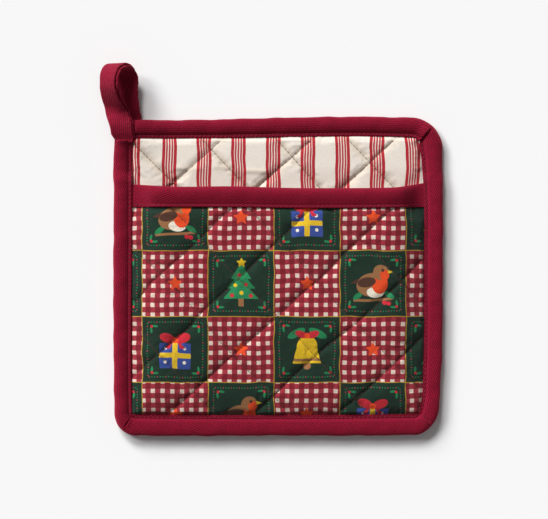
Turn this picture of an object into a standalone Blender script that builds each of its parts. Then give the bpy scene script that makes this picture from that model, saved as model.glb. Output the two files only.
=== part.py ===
"""Quilted pot holder with a front pocket, bound edges and a hanging loop.

It lies on its back. X runs to the right, Y runs up towards the loop and Z comes out
of the cloth. The origin is the centre of the back, in the plane that it rests on.
Five sewn pieces: the quilted back panel, the quilted pocket panel, the binding round
the edge, the binding of the pocket's mouth and the loop of folded tape.

All sizes below are in millimetres; MM turns them into metres.
"""

import math

import bmesh
import bpy
import numpy as np
from mathutils import Vector

MM = 0.001

# Driving dimensions: the bound outline.
WIDTH = 220.0
LENGTH = 212.3
CORNER_RADII = {"top right": 19.0, "top left": 8.0, "bottom left": 15.0, "bottom right": 18.0}
INNER_HALF_WIDTH = 98.0
INNER_TOP = 92.4
INNER_BOTTOM = -93.1
INNER_RADIUS = 0.8

# How far the edge stands out from the plain rectangle: share along the side, outward.
TOP_BOW = ((-1.0, -1.4), (-0.5, -1.3), (0.0, 0.1), (0.5, 0.9), (1.0, -0.3))
BOTTOM_BOW = ((-1.0, 0.4), (-0.5, 0.6), (0.0, 0.1), (0.5, 0.0), (1.0, -0.4))
LEFT_BOW = ((-1.0, -0.6), (-0.5, 0.1), (0.0, 0.3), (0.5, -0.1), (1.0, -0.3))
RIGHT_BOW = ((-1.0, -2.2), (-0.5, -0.5), (0.0, 0.0), (0.5, 0.0), (1.0, -0.6))

# Stack of layers held in the edge binding, a little apart: heights of each one's faces.
LAYER_GAP = 0.4
LIP = 1.2
BACK_EDGE = (LIP + LAYER_GAP, 3.2)
POCKET_EDGE = (BACK_EDGE[1] + LAYER_GAP, 5.5)
ROOF = POCKET_EDGE[1] + LAYER_GAP
ONE_LAYER_ROOF = BACK_EDGE[1] + LAYER_GAP

# Section of the edge binding, from the lower lip round the roll to the upper lip:
# share of the binding's width inward, height, share of the missing layer it sinks by.
EDGE_SECTION = (
    (1.00, 0.0, 0.00),
    (0.25, 0.0, 0.00),
    (0.08, 0.9, 0.00),
    (0.00, 3.2, 0.20),
    (0.04, 5.6, 0.40),
    (0.20, 7.6, 0.45),
    (0.46, 8.4, 0.45),
    (0.72, 7.8, 0.50),
    (0.87, 6.9, 0.80),
    (0.94, 7.3, 0.80),
    (1.00, 6.8, 0.80),
    (1.00, ROOF, 1.00),
    (0.42, ROOF, 1.00),
    (0.42, LIP, 0.00),
    (1.00, LIP, 0.00),
)
# Where the binding has a section: along its upright sides and along its level ones.
SIDE_Y = (-84.0, -62.0, -40.0, -18.0, 4.0, 26.0, 46.0, 63.0, 71.0, 76.5, 82.0)
LEFT_CORNER_Y = (88.5, 91.5)
LEVEL_X = (-88.0, -80.0, -71.0, -50.0, -26.0, 0.0, 22.0, 44.0, 66.0, 84.0)
LOOP_X = (-97.0, -94.5)
ONE_LAYER_Y = (63.0, 71.0)
ARC_STEPS = 5

# The corner under the loop: it lies on the loop's lower end and carries the upper one.
LIFT = 3.0
LIFT_CENTRE = (-101.0, 101.0)
LIFT_REACH = 30.0
PRESSED_SHARE = 0.6

# Quilting: where each family of stitch lines crosses a level line, its pitch and slope.
BACK_QUILTING = (
    {"lean": 1, "level": 77.7, "start": -52.9, "pitch": 58.5, "slope": 42.0, "lines": range(-1, 7)},
    {"lean": -1, "level": 77.7, "start": -37.9, "pitch": 48.6, "slope": 46.8, "lines": range(-5, 3)},
)
POCKET_QUILTING = (
    {"lean": 1, "level": -16.1, "start": -95.0, "pitch": 55.0, "slope": 43.0, "lines": range(-2, 5)},
    {"lean": -1, "level": -16.1, "start": -113.0, "pitch": 51.0, "slope": 46.6, "lines": range(-1, 6)},
)
FLAT_FROM = 7.0
PUFF_REACH = 17.0

# Heights of the two quilted panels.
PANEL_REACH = 7.2
PANEL_LEAST_RADIUS = 4.0
BACK_CROWN = 7.2
BACK_CROWN_IN_POCKET = 5.0
BACK_CHANNEL = 3.7
BACK_CHANNEL_IN_POCKET = 3.4
UNDER_CHANNEL = BACK_EDGE[0]
POCKET_CROWN = 4.6
POCKET_CHANNEL = 2.1
POCKET_UNDER_CHANNEL = 0.6
POCKET_EDGE_THICKNESS = POCKET_EDGE[1] - POCKET_EDGE[0]
POCKET_OVER_BACK = 2.6
OVER_BACK_REACH = 16.0
POCKET_GAPE = 4.8
MOUTH_STEP = 1.3
MOUTH_STEP_LENGTH = 1.6
SIDE_SLOPE = 25.0
BOTTOM_SLOPE = 70.0
NOTCH_X = 96.5
NOTCH_Y = 43.5
POCKET_TOP = 55.4

# The pocket's mouth: x, upper edge of its binding, lower edge of its binding.
MOUTH = (
    (-98.0, 61.6, 46.2),
    (-74.0, 59.9, 46.0),
    (-28.0, 59.9, 45.9),
    (6.0, 58.9, 45.3),
    (45.0, 58.7, 45.3),
    (66.0, 58.9, 45.5),
    (81.0, 59.5, 45.7),
    (91.0, 61.2, 46.0),
    (98.0, 62.4, 46.3),
)
# Section of the mouth's binding: share of its width inward, height over the panel's
# underside, height where its end is pressed flat inside the edge binding.
MOUTH_SECTION = (
    (1.00, -1.2, 0.00),
    (0.22, -1.3, 0.00),
    (0.06, -0.6, 0.20),
    (0.00, 1.0, 1.00),
    (0.06, 3.1, 1.80),
    (0.24, 4.6, 2.00),
    (0.52, 4.9, 2.00),
    (0.76, 4.3, 2.00),
    (0.88, 3.6, 2.00),
    (0.95, 3.9, 2.00),
    (1.00, 3.5, 2.00),
    (1.00, 2.5, 1.30),
    (0.22, 2.5, 1.30),
    (0.22, -0.4, 0.70),
    (1.00, -0.4, 0.70),
)
FLAT_END_X = 97.7
FULL_END_X = 96.8
MOUTH_STATIONS = (-101.0, -FLAT_END_X, -FULL_END_X, -92.0, -87.0, -82.0, -76.0, -70.0, -58.0, -30.0, 0.0)

# The loop of folded tape: centre line (x, y, z), lean of its width, thickness.
TAPE_WIDTH = 15.0
TAPE_EDGE = 0.8
TOP_LEAN = 42.0
TURN_CENTRE = (-105.8, 130.2, 14.3)
TURN_RADIUS = 10.5
TURN_STEPS = 10
UPPER_LEG = (
    (-105.0, 91.9, 8.5, 0.0, 1.6),
    (-105.1, 97.8, 9.6, 0.0, 2.4),
    (-105.5, 104.5, 10.8, 2.0, 2.8),
    (-107.3, 109.6, 13.6, 10.0, 3.0),
    (-109.3, 114.0, 15.4, 22.0, 3.0),
    (-111.6, 120.2, 18.8, 36.0, 3.0),
    (-112.7, 126.0, 21.6, 42.0, 3.0),
)
LOWER_LEG = (
    (-98.8, 125.0, 6.5, 42.0, 3.0),
    (-98.6, 118.0, 5.4, 32.0, 3.0),
    (-98.5, 111.5, 3.6, 16.0, 2.8),
    (-99.2, 106.0, 1.5, 3.0, 2.0),
    (-100.5, 98.5, 0.9, 0.0, 1.6),
)
ROUTE_STEPS = 3


def smooth(share):
    """Rises from 0 to 1 with level ends as share goes from 0 to 1."""
    share = np.clip(share, 0.0, 1.0)
    return share * share * (3.0 - 2.0 * share)


def bow(table, share):
    """How far a side stands out at a share along it, from -1 to 1."""
    return float(np.interp(share, [row[0] for row in table], [row[1] for row in table]))


def rounded_rectangle(half_width, top, bottom, radii):
    """Points and outward normals of a rounded rectangle, anticlockwise from its right side."""
    stops = (
        LEVEL_X[::-1] + LOOP_X[::-1],
        LEFT_CORNER_Y[::-1] + SIDE_Y[::-1],
        LEVEL_X,
        SIDE_Y,
    )
    corners = (
        ("top right", half_width, top, 1, 1),
        ("top left", -half_width, top, -1, 1),
        ("bottom left", -half_width, bottom, -1, -1),
        ("bottom right", half_width, bottom, 1, -1),
    )
    arcs = []
    for turn, (name, x, y, side_x, side_y) in enumerate(corners):
        radius = radii[name]
        centre = np.array((x - side_x * radius, y - side_y * radius))
        angles = math.radians(90.0 * turn) + np.linspace(0.0, math.pi / 2, ARC_STEPS + 1)
        normals = np.stack((np.cos(angles), np.sin(angles)), axis=1)
        arcs.append((centre + radius * normals, normals))
    points = []
    normals = []
    for turn, (arc, arc_normals) in enumerate(arcs):
        points.extend(arc)
        normals.extend(arc_normals)
        for stop in stops[turn]:
            level = turn % 2 == 0
            points.append((stop, arc[-1][1]) if level else (arc[-1][0], stop))
            normals.append(arc_normals[-1])
    return np.array(points), np.array(normals)


def lift(x, y):
    """Height of the corner that lies on the loop's lower end."""
    distance = np.hypot(x - LIFT_CENTRE[0], y - LIFT_CENTRE[1])
    return LIFT * smooth(1.0 - distance / LIFT_REACH)


def span(value, ends):
    """Share of the way of a value between two ends, smoothed."""
    return smooth((value - ends[0]) / (ends[1] - ends[0]))


def edge_height(x, y, height, sinks):
    """Height of a point of the edge binding, with one layer fewer above the mouth."""
    missing = (ROOF - ONE_LAYER_ROOF) * span(y, ONE_LAYER_Y)
    level = height - sinks * missing
    roof = ROOF - missing
    if level > roof:
        pressed = span(x, LOOP_X[::-1]) * span(y, LEFT_CORNER_Y)
        level = roof + (level - roof) * (1.0 - PRESSED_SHARE * pressed)
    return level + lift(x, y)


def under_pocket(x, y):
    """Underside of the pocket panel: over the back panel's puffs, and gaping to the mouth."""
    side = INNER_HALF_WIDTH - 0.5 - abs(x)
    gape = smooth(side / SIDE_SLOPE) * smooth((y - INNER_BOTTOM) / BOTTOM_SLOPE)
    over_back = smooth(min(side, y - INNER_BOTTOM) / OVER_BACK_REACH)
    step = MOUTH_STEP * smooth((y - NOTCH_Y) / MOUTH_STEP_LENGTH)
    return POCKET_EDGE[0] + step + POCKET_OVER_BACK * over_back + POCKET_GAPE * gape


def line_distance(quilting, x, y):
    """Distance from a point to the nearest line of quilting."""
    nearest = 1000.0
    for family in quilting:
        slope = math.radians(family["slope"])
        crossing = x - family["lean"] * (y - family["level"]) / math.tan(slope)
        for line in family["lines"]:
            offset = crossing - family["start"] - family["pitch"] * line
            nearest = min(nearest, abs(offset) * math.sin(slope))
    return nearest


def puff(distance, reach):
    """Rounded rise of a padded cell from its stitch line: a quarter of a sine wave."""
    return math.sin(math.pi / 2 * min(distance / reach, 1.0))


def edge_distance(x, y, top):
    """How far a point lies inside the part of a panel that the bindings leave free."""
    return min(INNER_HALF_WIDTH - abs(x), y - INNER_BOTTOM, top - y) - 0.5


def back_heights(x, y):
    """Underside and top of the back panel."""
    inside = edge_distance(x, y, INNER_TOP)
    distance = line_distance(BACK_QUILTING, x, y)
    covered = 1.0 - span(y, (60.0, 74.0))
    crown = BACK_CROWN + (BACK_CROWN_IN_POCKET - BACK_CROWN) * covered
    channel = BACK_CHANNEL + (BACK_CHANNEL_IN_POCKET - BACK_CHANNEL) * covered
    under = UNDER_CHANNEL * (1.0 - smooth(distance / FLAT_FROM) * smooth(inside / 4.0))
    full = channel + (crown - channel) * puff(distance, PUFF_REACH)
    top = BACK_EDGE[1] + (full - BACK_EDGE[1]) * smooth(inside / (12.0 + 8.0 * covered))
    raised = lift(x, y)
    return under + raised, top + raised


def pocket_heights(x, y):
    """Underside and top of the pocket panel."""
    mouth = min(row[2] for row in MOUTH)
    inside = edge_distance(x, y, mouth)
    distance = line_distance(POCKET_QUILTING, x, y)
    free = smooth(inside / 12.0)
    base = under_pocket(x, y)
    under = base + POCKET_UNDER_CHANNEL * free * (1.0 - smooth(distance / FLAT_FROM))
    full = POCKET_CHANNEL + (POCKET_CROWN - POCKET_CHANNEL) * puff(distance, PUFF_REACH)
    thickness = POCKET_EDGE_THICKNESS + (full - POCKET_EDGE_THICKNESS) * free
    return under, base + thickness


def fabric(name, colour, roughness):
    """Plain cloth material: linear colour and roughness, no metal."""
    material = bpy.data.materials.new(name)
    material.use_nodes = True
    shader = material.node_tree.nodes["Principled BSDF"]
    shader.inputs["Base Color"].default_value = (*colour, 1.0)
    shader.inputs["Roughness"].default_value = roughness
    shader.inputs["Metallic"].default_value = 0.0
    return material


def add_piece(name, bm, material, collection):
    """Puts a finished skin into the scene as one smooth-shaded object."""
    bmesh.ops.recalc_face_normals(bm, faces=bm.faces)
    mesh = bpy.data.meshes.new(name)
    bm.to_mesh(mesh)
    bm.free()
    mesh.shade_smooth()
    mesh.set_sharp_from_angle(angle=math.radians(50.0))
    mesh.materials.append(material)
    piece = bpy.data.objects.new(name, mesh)
    collection.objects.link(piece)
    return piece


def loft(sections, joined):
    """Skin over a row of unlike sections: joined end to end, or capped at both ends."""
    bm = bmesh.new()
    rings = [[bm.verts.new(Vector(point) * MM) for point in section] for section in sections]
    pairs = list(zip(rings, rings[1:]))
    if joined:
        pairs.append((rings[-1], rings[0]))
    for first, second in pairs:
        for i in range(len(first)):
            after = (i + 1) % len(first)
            bm.faces.new((first[i], first[after], second[after], second[i]))
    if not joined:
        bm.faces.new(rings[0])
        bm.faces.new(rings[-1][::-1])
    return bm


def cut(bm, point, normal, clear=False):
    """Cuts the whole sheet along a vertical plane, and drops what lies beyond it if asked."""
    everything = bm.verts[:] + bm.edges[:] + bm.faces[:]
    bmesh.ops.bisect_plane(
        bm,
        geom=everything,
        dist=1e-7,
        plane_co=Vector((*point, 0.0)) * MM,
        plane_no=Vector((*normal, 0.0)),
        clear_outer=clear,
    )


def round_corner(bm, corner, side_x, side_y, radius):
    """Trims a corner of the sheet to an arc, by three straight cuts that touch it."""
    centre = (corner[0] - side_x * radius, corner[1] - side_y * radius)
    for angle in (22.5, 45.0, 67.5):
        normal = (side_x * math.cos(math.radians(angle)), side_y * math.sin(math.radians(angle)))
        point = (centre[0] + radius * normal[0], centre[1] + radius * normal[1])
        cut(bm, point, normal, clear=True)


def quilted_sheet(quilting, top, straight_x, straight_y):
    """Flat sheet divided along its quilting, beside it, midway between lines and near its edges."""
    half_width = WIDTH / 2 - PANEL_REACH
    bottom = -LENGTH / 2 + PANEL_REACH
    bm = bmesh.new()
    bmesh.ops.create_grid(bm, x_segments=1, y_segments=1, size=0.5)
    for vertex in bm.verts:
        vertex.co.x *= 2.0 * half_width * MM
        vertex.co.y = ((bottom + top) / 2 + vertex.co.y * (top - bottom)) * MM
    for name, radius in CORNER_RADII.items():
        side_x = 1 if "right" in name else -1
        side_y = 1 if "top" in name else -1
        corner = (side_x * half_width, top if side_y > 0 else bottom)
        round_corner(bm, corner, side_x, side_y, max(radius - PANEL_REACH, PANEL_LEAST_RADIUS))
    for family in quilting:
        slope = math.radians(family["slope"])
        normal = (math.sin(slope), -family["lean"] * math.cos(slope))
        middle = family["pitch"] * math.sin(slope) / 2
        for line in family["lines"]:
            crossing = family["start"] + family["pitch"] * line
            for offset in (-FLAT_FROM, 0.0, FLAT_FROM, middle):
                point = (crossing + offset * normal[0], family["level"] + offset * normal[1])
                cut(bm, point, normal)
    for x in straight_x:
        cut(bm, (x, 0.0), (1.0, 0.0))
    for y in straight_y:
        cut(bm, (0.0, y), (0.0, 1.0))
    bmesh.ops.remove_doubles(bm, verts=bm.verts, dist=0.5 * MM)
    return bm


def thicken(bm, heights):
    """Makes the flat sheet a filled one, between the underside and the top that heights gives."""
    bmesh.ops.dissolve_degenerate(bm, dist=0.01 * MM, edges=bm.edges)
    bmesh.ops.triangulate(bm, faces=bm.faces)
    raised = bmesh.ops.extrude_face_region(bm, geom=bm.faces[:])["geom"]
    upper = {item for item in raised if isinstance(item, bmesh.types.BMVert)}
    for vertex in bm.verts:
        under, over = heights(vertex.co.x / MM, vertex.co.y / MM)
        vertex.co.z = (over if vertex in upper else under) * MM
    return bm


def build_edge_binding(material, collection):
    """Binding folded over the edge all round: a ring with a U section, open inwards."""
    outer, normals = rounded_rectangle(WIDTH / 2, LENGTH / 2, -LENGTH / 2, CORNER_RADII)
    inner_radii = dict.fromkeys(CORNER_RADII, INNER_RADIUS)
    inner, _ = rounded_rectangle(INNER_HALF_WIDTH, INNER_TOP, INNER_BOTTOM, inner_radii)
    sections = []
    for edge, normal, inside in zip(outer, normals, inner):
        across, along = edge[0] / (WIDTH / 2), edge[1] / (LENGTH / 2)
        out_x = bow(RIGHT_BOW if normal[0] > 0 else LEFT_BOW, along) * abs(normal[0])
        out_y = bow(TOP_BOW if normal[1] > 0 else BOTTOM_BOW, across) * abs(normal[1])
        edge = edge + normal * (out_x + out_y)
        section = []
        for share, height, sinks in EDGE_SECTION:
            x, y = edge + (inside - edge) * share
            section.append((x, y, edge_height(x, y, height, sinks)))
        sections.append(section)
    return add_piece("edge_binding", loft(sections, joined=True), material, collection)


def build_back_panel(material, collection):
    """Quilted back: flat on its underside between the channels, puffed on its top."""
    top = LENGTH / 2 - PANEL_REACH
    sheet = quilted_sheet(
        BACK_QUILTING, top, (-97.5, -90.0, 90.0, 97.5), (-92.6, -85.0, 60.0, 68.0, 91.9)
    )
    return add_piece("back_panel", thicken(sheet, back_heights), material, collection)


def build_pocket_panel(material, collection):
    """Quilted pocket: sewn in on three sides, notched at the mouth's ends."""
    sheet = quilted_sheet(
        POCKET_QUILTING,
        POCKET_TOP,
        (-97.5, -NOTCH_X, -90.0, 90.0, NOTCH_X, 97.5),
        (-92.6, -85.0, 33.0, NOTCH_Y, NOTCH_Y + MOUTH_STEP_LENGTH),
    )
    notches = [
        face
        for face in sheet.faces
        if abs(face.calc_center_median().x) > NOTCH_X * MM
        and face.calc_center_median().y > NOTCH_Y * MM
    ]
    bmesh.ops.delete(sheet, geom=notches, context="FACES")
    return add_piece("pocket_panel", thicken(sheet, pocket_heights), material, collection)


def build_pocket_binding(material, collection):
    """Binding folded over the pocket's mouth, its ends pressed flat inside the edge binding."""
    columns = list(zip(*MOUTH))
    stations = MOUTH_STATIONS + tuple(-x for x in MOUTH_STATIONS[-2::-1])
    sections = []
    for x in stations:
        upper = float(np.interp(x, columns[0], columns[1]))
        lower = float(np.interp(x, columns[0], columns[2]))
        flat = 1.0 - smooth((FLAT_END_X - abs(x)) / (FLAT_END_X - FULL_END_X))
        section = []
        for share, height, pressed in MOUTH_SECTION:
            y = upper + (lower - upper) * share
            full = under_pocket(x, max(y, NOTCH_Y + MOUTH_STEP_LENGTH)) + height
            section.append((x, y, full + (POCKET_EDGE[0] + pressed - full) * flat))
        sections.append(section)
    return add_piece("pocket_binding", loft(sections, joined=False), material, collection)


def loop_route():
    """Rows of the tape's route: x, y, z, lean and thickness, from the upper end to the lower.

    Between two rows runs a Hermite cubic whose end slopes are half the way from the row
    before to the row after.
    """
    lean = math.radians(TOP_LEAN)
    away = np.array((-math.sin(lean), 0.0, math.cos(lean)))
    turn = []
    for angle in np.linspace(0.0, math.pi, TURN_STEPS + 1):
        ahead = np.array((0.0, math.sin(angle), 0.0))
        place = np.array(TURN_CENTRE) + TURN_RADIUS * (ahead + away * math.cos(angle))
        turn.append((*place, TOP_LEAN, 3.0))
    rows = np.array(UPPER_LEG + tuple(turn) + LOWER_LEG)
    route = []
    for i in range(len(rows) - 1):
        here, there = rows[i], rows[i + 1]
        leaving = (there - rows[max(i - 1, 0)]) / 2
        reaching = (rows[min(i + 2, len(rows) - 1)] - here) / 2
        steps = 1 if len(UPPER_LEG) <= i < len(UPPER_LEG) + TURN_STEPS else ROUTE_STEPS
        for t in np.arange(steps) / steps:
            ease = smooth(t)
            place = here + (there - here) * ease
            route.append(place + t * (1 - t) * ((1 - t) * leaving - t * reaching))
    route.append(rows[-1])
    return np.array(route)


def build_hanging_loop(material, collection):
    """Tape bent into a loop: a flat oval section swept along the route, its width leaning."""
    route = loop_route()
    places = route[:, :3]
    ahead = np.gradient(places, axis=0)
    half = TAPE_WIDTH / 2
    sections = []
    for place, direction, lean, thickness in zip(places, ahead, route[:, 3], route[:, 4]):
        direction = direction / np.linalg.norm(direction)
        angle = math.radians(lean)
        across = np.array((math.cos(angle), 0.0, math.sin(angle)))
        across -= direction * across.dot(direction)
        across /= np.linalg.norm(across)
        through = np.cross(direction, across)
        side = thickness / 2
        oval = (
            (-half, -side / 2),
            (TAPE_EDGE - half, -side),
            (half - TAPE_EDGE, -side),
            (half, -side / 2),
            (half, side / 2),
            (half - TAPE_EDGE, side),
            (TAPE_EDGE - half, side),
            (-half, side / 2),
        )
        sections.append([place + across * u + through * v for u, v in oval])
    return add_piece("hanging_loop", loft(sections, joined=False), material, collection)


def main():
    """Clears the scene and builds the five pieces in a collection of their own."""
    for startup in list(bpy.data.objects):
        bpy.data.objects.remove(startup, do_unlink=True)
    collection = bpy.data.collections.new("pot_holder")
    bpy.context.scene.collection.children.link(collection)
    twill = fabric("red cotton twill", (0.21, 0.014, 0.035), 0.85)
    ticking = fabric("striped cotton ticking", (0.72, 0.62, 0.52), 0.85)
    calico = fabric("printed cotton calico", (0.16, 0.04, 0.035), 0.85)
    build_edge_binding(twill, collection)
    build_back_panel(ticking, collection)
    build_pocket_panel(calico, collection)
    build_pocket_binding(twill, collection)
    build_hanging_loop(twill, collection)


main()
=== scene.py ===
"""Looks of a quilted pot holder with a front pocket, bound edges and a hanging loop.

It lies on its back. X runs to the right, Y runs up towards the loop's edge and Z comes
out of the cloth. Tables and fields are in millimetres, and MM turns them into metres.

Each piece of cloth is a row of closed sections, worked out as whole arrays and joined
into one skin. Each pattern reads the cloth's own flat coordinates from the UV map.
"""

import ast
import logging
import math
from dataclasses import dataclass, field
from enum import Enum

import bpy
import numpy as np
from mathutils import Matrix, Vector


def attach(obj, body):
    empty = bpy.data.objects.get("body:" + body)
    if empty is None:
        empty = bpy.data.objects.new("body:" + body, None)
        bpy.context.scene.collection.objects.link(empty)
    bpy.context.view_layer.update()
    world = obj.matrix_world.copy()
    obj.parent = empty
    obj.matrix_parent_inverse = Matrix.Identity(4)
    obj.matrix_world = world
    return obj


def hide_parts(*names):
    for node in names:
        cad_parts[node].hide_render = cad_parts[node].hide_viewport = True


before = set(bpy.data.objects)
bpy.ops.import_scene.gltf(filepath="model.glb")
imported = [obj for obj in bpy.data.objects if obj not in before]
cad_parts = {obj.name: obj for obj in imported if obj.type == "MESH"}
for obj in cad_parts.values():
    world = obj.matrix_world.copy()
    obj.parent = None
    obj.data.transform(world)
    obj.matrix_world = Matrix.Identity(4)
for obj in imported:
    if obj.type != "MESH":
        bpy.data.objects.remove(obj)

log = logging.getLogger("pot_holder")

MM = 0.001
CLOTH_UNIT = 250.0  # millimetres of cloth for one unit of a UV map
STITCH_PITCH = 2.9  # millimetres from one stitch to the next
TURN = 2.0 * math.pi
ROOT = "root"

Array = np.ndarray
Table = tuple[tuple[float, ...], ...]
Rows = list[tuple[Array, Array]]
Colour = tuple[float, float, float, float]
Tree = bpy.types.NodeTree
Socket = bpy.types.NodeSocket
Material = bpy.types.Material
Piece = bpy.types.Object


# ---------------------------------------------------------------- curves and surfaces


def smooth(share: Array | float) -> Array:
    """Rises from 0 to 1 with level ends as share goes from 0 to 1: s * s * (3 - 2 s)."""
    share = np.clip(share, 0.0, 1.0)
    return share * share * (3.0 - 2.0 * share)


def span(value: Array | float, start: float, end: float) -> Array:
    """Smoothed share of the way of a value from start to end."""
    return smooth((value - start) / (end - start))


def blend(start: Array | float, end: Array | float, share: Array) -> Array:
    """Value that goes straight from start to end as share goes from 0 to 1."""
    return start + (end - start) * share


def bell(value: Array | float, width: float) -> Array:
    """Bell curve, 1 at zero: e to the power of minus the square of value over width."""
    return np.exp(-((value / width) ** 2))


def unit(vectors: Array) -> Array:
    """Vectors of length one, along the last axis."""
    return vectors / np.linalg.norm(vectors, axis=-1, keepdims=True)


def through(table: Table | Array, at: Array) -> Array:
    """Smooth curve through a table's rows.

    Between two rows runs a Hermite cubic, whose slope at each row is that of the line
    from the row before to the row after.

    Args:
        table: rows of place and values, places rising.
        at: places to read the curve at, of any shape.

    Returns:
        The values, with one more axis than at if the table has several value columns.
    """
    rows = np.array(table, float)
    knots, values = rows[:, 0], rows[:, 1:]
    slopes = np.gradient(values, knots, axis=0)
    at = np.clip(at, knots[0], knots[-1])
    i = np.clip(np.searchsorted(knots, at) - 1, 0, len(knots) - 2)
    width = (knots[i + 1] - knots[i])[..., None]
    t = (at - knots[i])[..., None] / width
    ease = t * t * (3.0 - 2.0 * t)
    found = values[i] * (1.0 - ease) + values[i + 1] * ease
    found = found + t * (1.0 - t) * width * ((1.0 - t) * slopes[i] - t * slopes[i + 1])
    return found[..., 0] if values.shape[1] == 1 else found


def between(places: Array, values: Array, at: Array) -> Array:
    """Rows of values, known at rising places, read on the straight lines between them."""
    return np.stack([np.interp(at, places, column) for column in values.T], 1)


def chords(points: Array) -> Array:
    """Length along a polyline at each of its points."""
    steps = np.linalg.norm(np.diff(points, axis=0), axis=1)
    return np.concatenate(([0.0], np.cumsum(steps)))


def nearest_index(places: Array, at: Array) -> Array:
    """Number of the place nearest to each value, where the places rise."""
    index = np.clip(np.searchsorted(places, at), 1, len(places) - 1)
    return index - (np.abs(places[index - 1] - at) < np.abs(places[index] - at))


RIPPLES = (1.0, 1.63, 2.41)  # waves of a ripple in the room of the longest one
RIPPLE_SUM = 1.6  # brings their sum to about 1


def ripple(at: Array, wavelength: float, seed: int) -> Array:
    """Uneven wave between about -1 and 1: three sines of unlike lengths and phases.

    Args:
        at: places along it.
        wavelength: the longest wave's length.
        seed: choice of the phases.

    Returns:
        The wave at each place.
    """
    total = np.zeros_like(at, dtype=float)
    for waves, phase in zip(RIPPLES, np.random.default_rng(seed).random(len(RIPPLES))):
        total += np.sin(TURN * (at * waves / wavelength + phase)) / waves
    return total / RIPPLE_SUM


def doubled(grid: Array) -> Array:
    """Grid with a point more between each two, on the cubic through four neighbours.

    A middle point is 9/16 of its two neighbours less 1/16 of the two beyond them.

    Args:
        grid: values by row and column.

    Returns:
        The same for 2 n - 1 rows and 2 m - 1 columns.
    """
    for axis in (0, 1):
        grid = np.moveaxis(grid, axis, 0)
        padded = np.concatenate((2 * grid[:1] - grid[1:2], grid, 2 * grid[-1:] - grid[-2:-1]))
        finer = np.empty((2 * len(grid) - 1, *grid.shape[1:]))
        finer[::2] = grid
        finer[1::2] = (9.0 * (padded[1:-2] + padded[2:-1]) - padded[:-3] - padded[3:]) / 16.0
        grid = np.moveaxis(finer, 0, axis)
    return grid


def nearest_on_lines(lines: tuple[Table, ...], x: Array, y: Array) -> tuple[Array, Array, Array]:
    """Nearest point of a set of polylines.

    Args:
        lines: polylines, each a row of (x, y) points.
        x, y: places, of any shape.

    Returns:
        Distance to the nearest polyline, the nearest point on it (last axis x, y), and
        how far along its polyline that point lies.
    """
    place = np.stack((x, y), axis=-1)
    best = np.full(x.shape, np.inf)
    nearest = place.copy()
    along = np.zeros(x.shape)
    for line in lines:
        points = np.array(line, float)
        for start, end, before in zip(points, points[1:], chords(points)):
            run = end - start
            share = np.clip(((place - start) @ run) / (run @ run), 0.0, 1.0)
            foot = start + share[..., None] * run
            distance = np.linalg.norm(place - foot, axis=-1)
            closer = distance < best
            best = np.where(closer, distance, best)
            nearest = np.where(closer[..., None], foot, nearest)
            along = np.where(closer, before + share * np.linalg.norm(run), along)
    return best, nearest, along


def as_mesh(name: str, points: Array, faces: Array, flat: Array | None = None) -> Piece:
    """Makes an object at the origin from arrays.

    Args:
        name: the piece's name.
        points: (n, 3) places in millimetres.
        faces: (m, 4) corners of quads, either way round.
        flat: (m, 4, 2) flat cloth coordinates of the corners in millimetres.

    Returns:
        The object, smooth shaded, with its faces pointing out.
    """
    a, b, c, d = (points[faces[:, k]] for k in range(4))
    volume = (a * np.cross(b, c)).sum() + (a * np.cross(c, d)).sum()
    if volume < 0.0:
        faces = faces[:, ::-1]
        flat = None if flat is None else flat[:, ::-1]
    mesh = bpy.data.meshes.new(name)
    mesh.vertices.add(len(points))
    mesh.vertices.foreach_set("co", (points * MM).astype(np.float32).ravel())
    mesh.loops.add(faces.size)
    mesh.loops.foreach_set("vertex_index", faces.astype(np.int32).ravel())
    mesh.polygons.add(len(faces))
    mesh.polygons.foreach_set("loop_start", np.arange(0, faces.size, 4, dtype=np.int32))
    mesh.update(calc_edges=True)
    mesh.shade_smooth()
    if flat is not None:
        layer = mesh.uv_layers.new(name="cloth")
        layer.data.foreach_set("uv", (flat / CLOTH_UNIT).astype(np.float32).ravel())
    made = bpy.data.objects.new(name, mesh)
    bpy.context.scene.collection.objects.link(made)
    return made


def belt(start: Array, end: Array) -> Array:
    """Corners of the quads that join points j and j + 1 of each start and end section."""
    return np.stack((start, end, np.roll(end, -1, 1), np.roll(start, -1, 1)), 2)


def cap(count: int) -> Array:
    """Corners of the quads that close a section: points j, j + 1 and their opposite ones."""
    j = np.arange(count // 2 - 1)
    return np.stack((j, j + 1, count - 2 - j, count - 1 - j), -1)


def skin(name: str, sections: Array, flat: Array) -> Piece:
    """Closed skin over a row of closed sections.

    Args:
        name: the piece's name.
        sections: (rows, n, 3) places in millimetres.
        flat: (rows, n, 2) flat coordinates, and the row's ends are closed. Or, where the
            last section meets the first, (rows, 2, n, 2): those of both ends of each
            stretch between two sections.

    Returns:
        The object.
    """
    rows, count = sections.shape[:2]
    index = np.arange(rows * count).reshape(rows, count)
    if flat.ndim == 4:
        faces = [belt(index, np.roll(index, -1, 0)).reshape(-1, 4)]
        corners = [belt(flat[:, 0], flat[:, 1]).reshape(-1, 4, 2)]
    else:
        close = cap(count)
        faces = [belt(index[:-1], index[1:]).reshape(-1, 4), index[0][close], index[-1][close[:, ::-1]]]
        corners = [belt(flat[:-1], flat[1:]).reshape(-1, 4, 2), flat[0][close], flat[-1][close[:, ::-1]]]
    return as_mesh(name, sections.reshape(-1, 3), np.concatenate(faces), np.concatenate(corners))


def round_each(sections: Array) -> Array:
    """Length round each section at each of its points."""
    steps = np.linalg.norm(np.diff(sections, axis=1), axis=2)
    return np.concatenate((np.zeros((len(sections), 1)), np.cumsum(steps, 1)), 1)


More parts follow.
